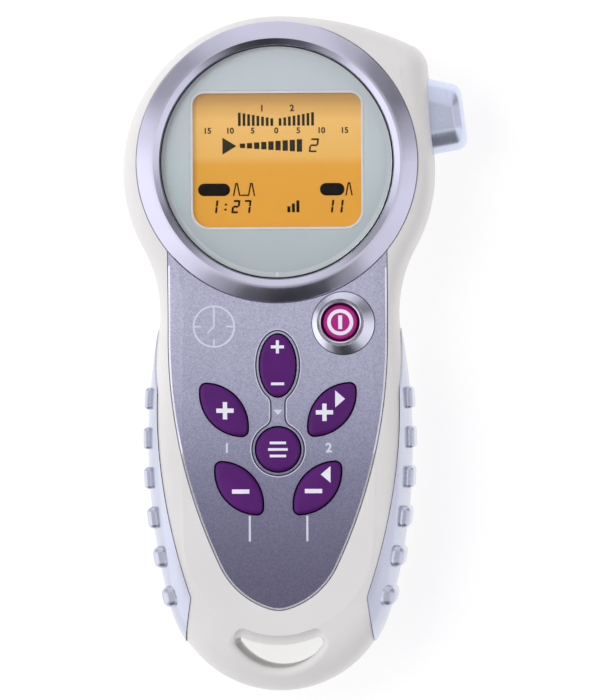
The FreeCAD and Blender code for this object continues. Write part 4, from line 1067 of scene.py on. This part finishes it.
def make_floor():
    bm = bmesh.new()
    bmesh.ops.create_grid(bm, x_segments=8, y_segments=8, size=3000)
    for vert in bm.verts:
        vert.co = vert.co * MM - Vector((0, 0, 0.00005))
    mesh = bpy.data.meshes.new("floor")
    bm.to_mesh(mesh)
    bm.free()
    floor = bpy.data.objects.new("floor", mesh)
    bpy.context.scene.collection.objects.link(floor)
    s = Shader("floor_pale", specular_ior_level=0.05, emission_strength=0.76)
    s.bsdf.inputs["Emission Color"].default_value = (1, 1, 1, 1)
    s.colour(s.tones(s.noise(8, 2), (152, 152, 152), (156, 156, 156)))
    s.rough(s.noise(20, 2), 0.75, 0.9)
    mesh.materials.append(s.material)


# Soft boxes round the studio: compass angle from +X, brightness.
WALLS = [
    (-180, 1.2), (-150, 1.2), (-135, 1.0), (-120, 0.45), (-105, 0.1), (-90, 0.03), (-75, 0.05),
    (-60, 0.35), (-45, 0.82), (-15, 0.95), (0, 0.85), (15, 0.5), (30, 0.22), (45, 0.3), (60, 0.6),
    (75, 0.8), (105, 0.85), (120, 0.7), (135, 0.42), (150, 0.45), (165, 0.95), (180, 1.2),
]
WALL_TINT = (1.0, 0.99, 1.06)
CEILING = (0.78, 0.78, 0.8, 1)
CEILING_START = 0.93
CEILING_FULL = 0.98
CARD = (0.05, 0.05, 0.05, 1)
CARD_START = 0.9945
CARD_FULL = 0.9975


def make_world():
    """Bright and dark soft boxes round the part, a ceiling, and a dark card straight above."""
    world = bpy.data.worlds.new("studio")
    world.use_nodes = True
    nodes, links = world.node_tree.nodes, world.node_tree.links
    direction = nodes.new("ShaderNodeTexCoord").outputs["Generated"]
    split = nodes.new("ShaderNodeSeparateXYZ")
    links.new(direction, split.inputs[0])
    turn = nodes.new("ShaderNodeMath")
    turn.operation = "ARCTAN2"
    links.new(split.outputs["Y"], turn.inputs[0])
    links.new(split.outputs["X"], turn.inputs[1])
    share = nodes.new("ShaderNodeMapRange")
    links.new(turn.outputs[0], share.inputs["Value"])
    share.inputs["From Min"].default_value = -math.pi
    share.inputs["From Max"].default_value = math.pi
    around = nodes.new("ShaderNodeValToRGB")
    around.color_ramp.interpolation = "EASE"
    elements = around.color_ramp.elements
    while len(elements) < len(WALLS):
        elements.new(0.5)
    for element, (angle, level) in zip(elements, WALLS):
        element.position = (angle + 180) / 360
        element.color = (*[level * tint for tint in WALL_TINT], 1)
    links.new(share.outputs[0], around.inputs["Fac"])
    light = around.outputs["Color"]
    for start, full, colour in ((CEILING_START, CEILING_FULL, CEILING), (CARD_START, CARD_FULL, CARD)):
        share = nodes.new("ShaderNodeMapRange")
        share.interpolation_type = "SMOOTHSTEP"
        links.new(split.outputs["Z"], share.inputs["Value"])
        share.inputs["From Min"].default_value = start
        share.inputs["From Max"].default_value = full
        mixer = nodes.new("ShaderNodeMix")
        mixer.data_type = "RGBA"
        links.new(share.outputs[0], mixer.inputs[0])
        links.new(light, mixer.inputs[6])
        mixer.inputs[7].default_value = colour
        light = mixer.outputs[2]
    links.new(light, nodes["Background"].inputs["Color"])
    bpy.context.scene.world = world


def area_light(name, place, aim, size, power):
    data = bpy.data.lights.new(name, "AREA")
    data.shape = "RECTANGLE"
    data.size, data.size_y = size
    data.energy = power
    light = bpy.data.objects.new(name, data)
    light.location = place
    light.rotation_euler = (Vector(aim) - Vector(place)).to_track_quat("-Z", "Y").to_euler()
    light.visible_camera = False
    light.visible_glossy = False
    bpy.context.scene.collection.objects.link(light)


def make_lights():
    area_light("key_light", (-0.5, 0.25, 1.0), (0, 0, 0.01), (0.5, 0.5), 3.3)
    area_light("fill_light", (0.6, 0.1, 0.9), (0, 0, 0.01), (0.6, 0.6), 0.15)
    bpy.context.scene.view_settings.view_transform = "Standard"


dress_cad_nodes()
key_caps = make_caps()
make_leaf_marks(key_caps)
make_mode_mark(key_caps)
make_power_marks(key_caps)
make_rocker_marks()
make_panel_prints()
make_lcd_upper()
make_lcd_numbers()
make_lcd_lower()
make_lens_edge_shade()
make_edge_and_groove_lines()
make_world()
make_lights()
make_floor()
make_camera()
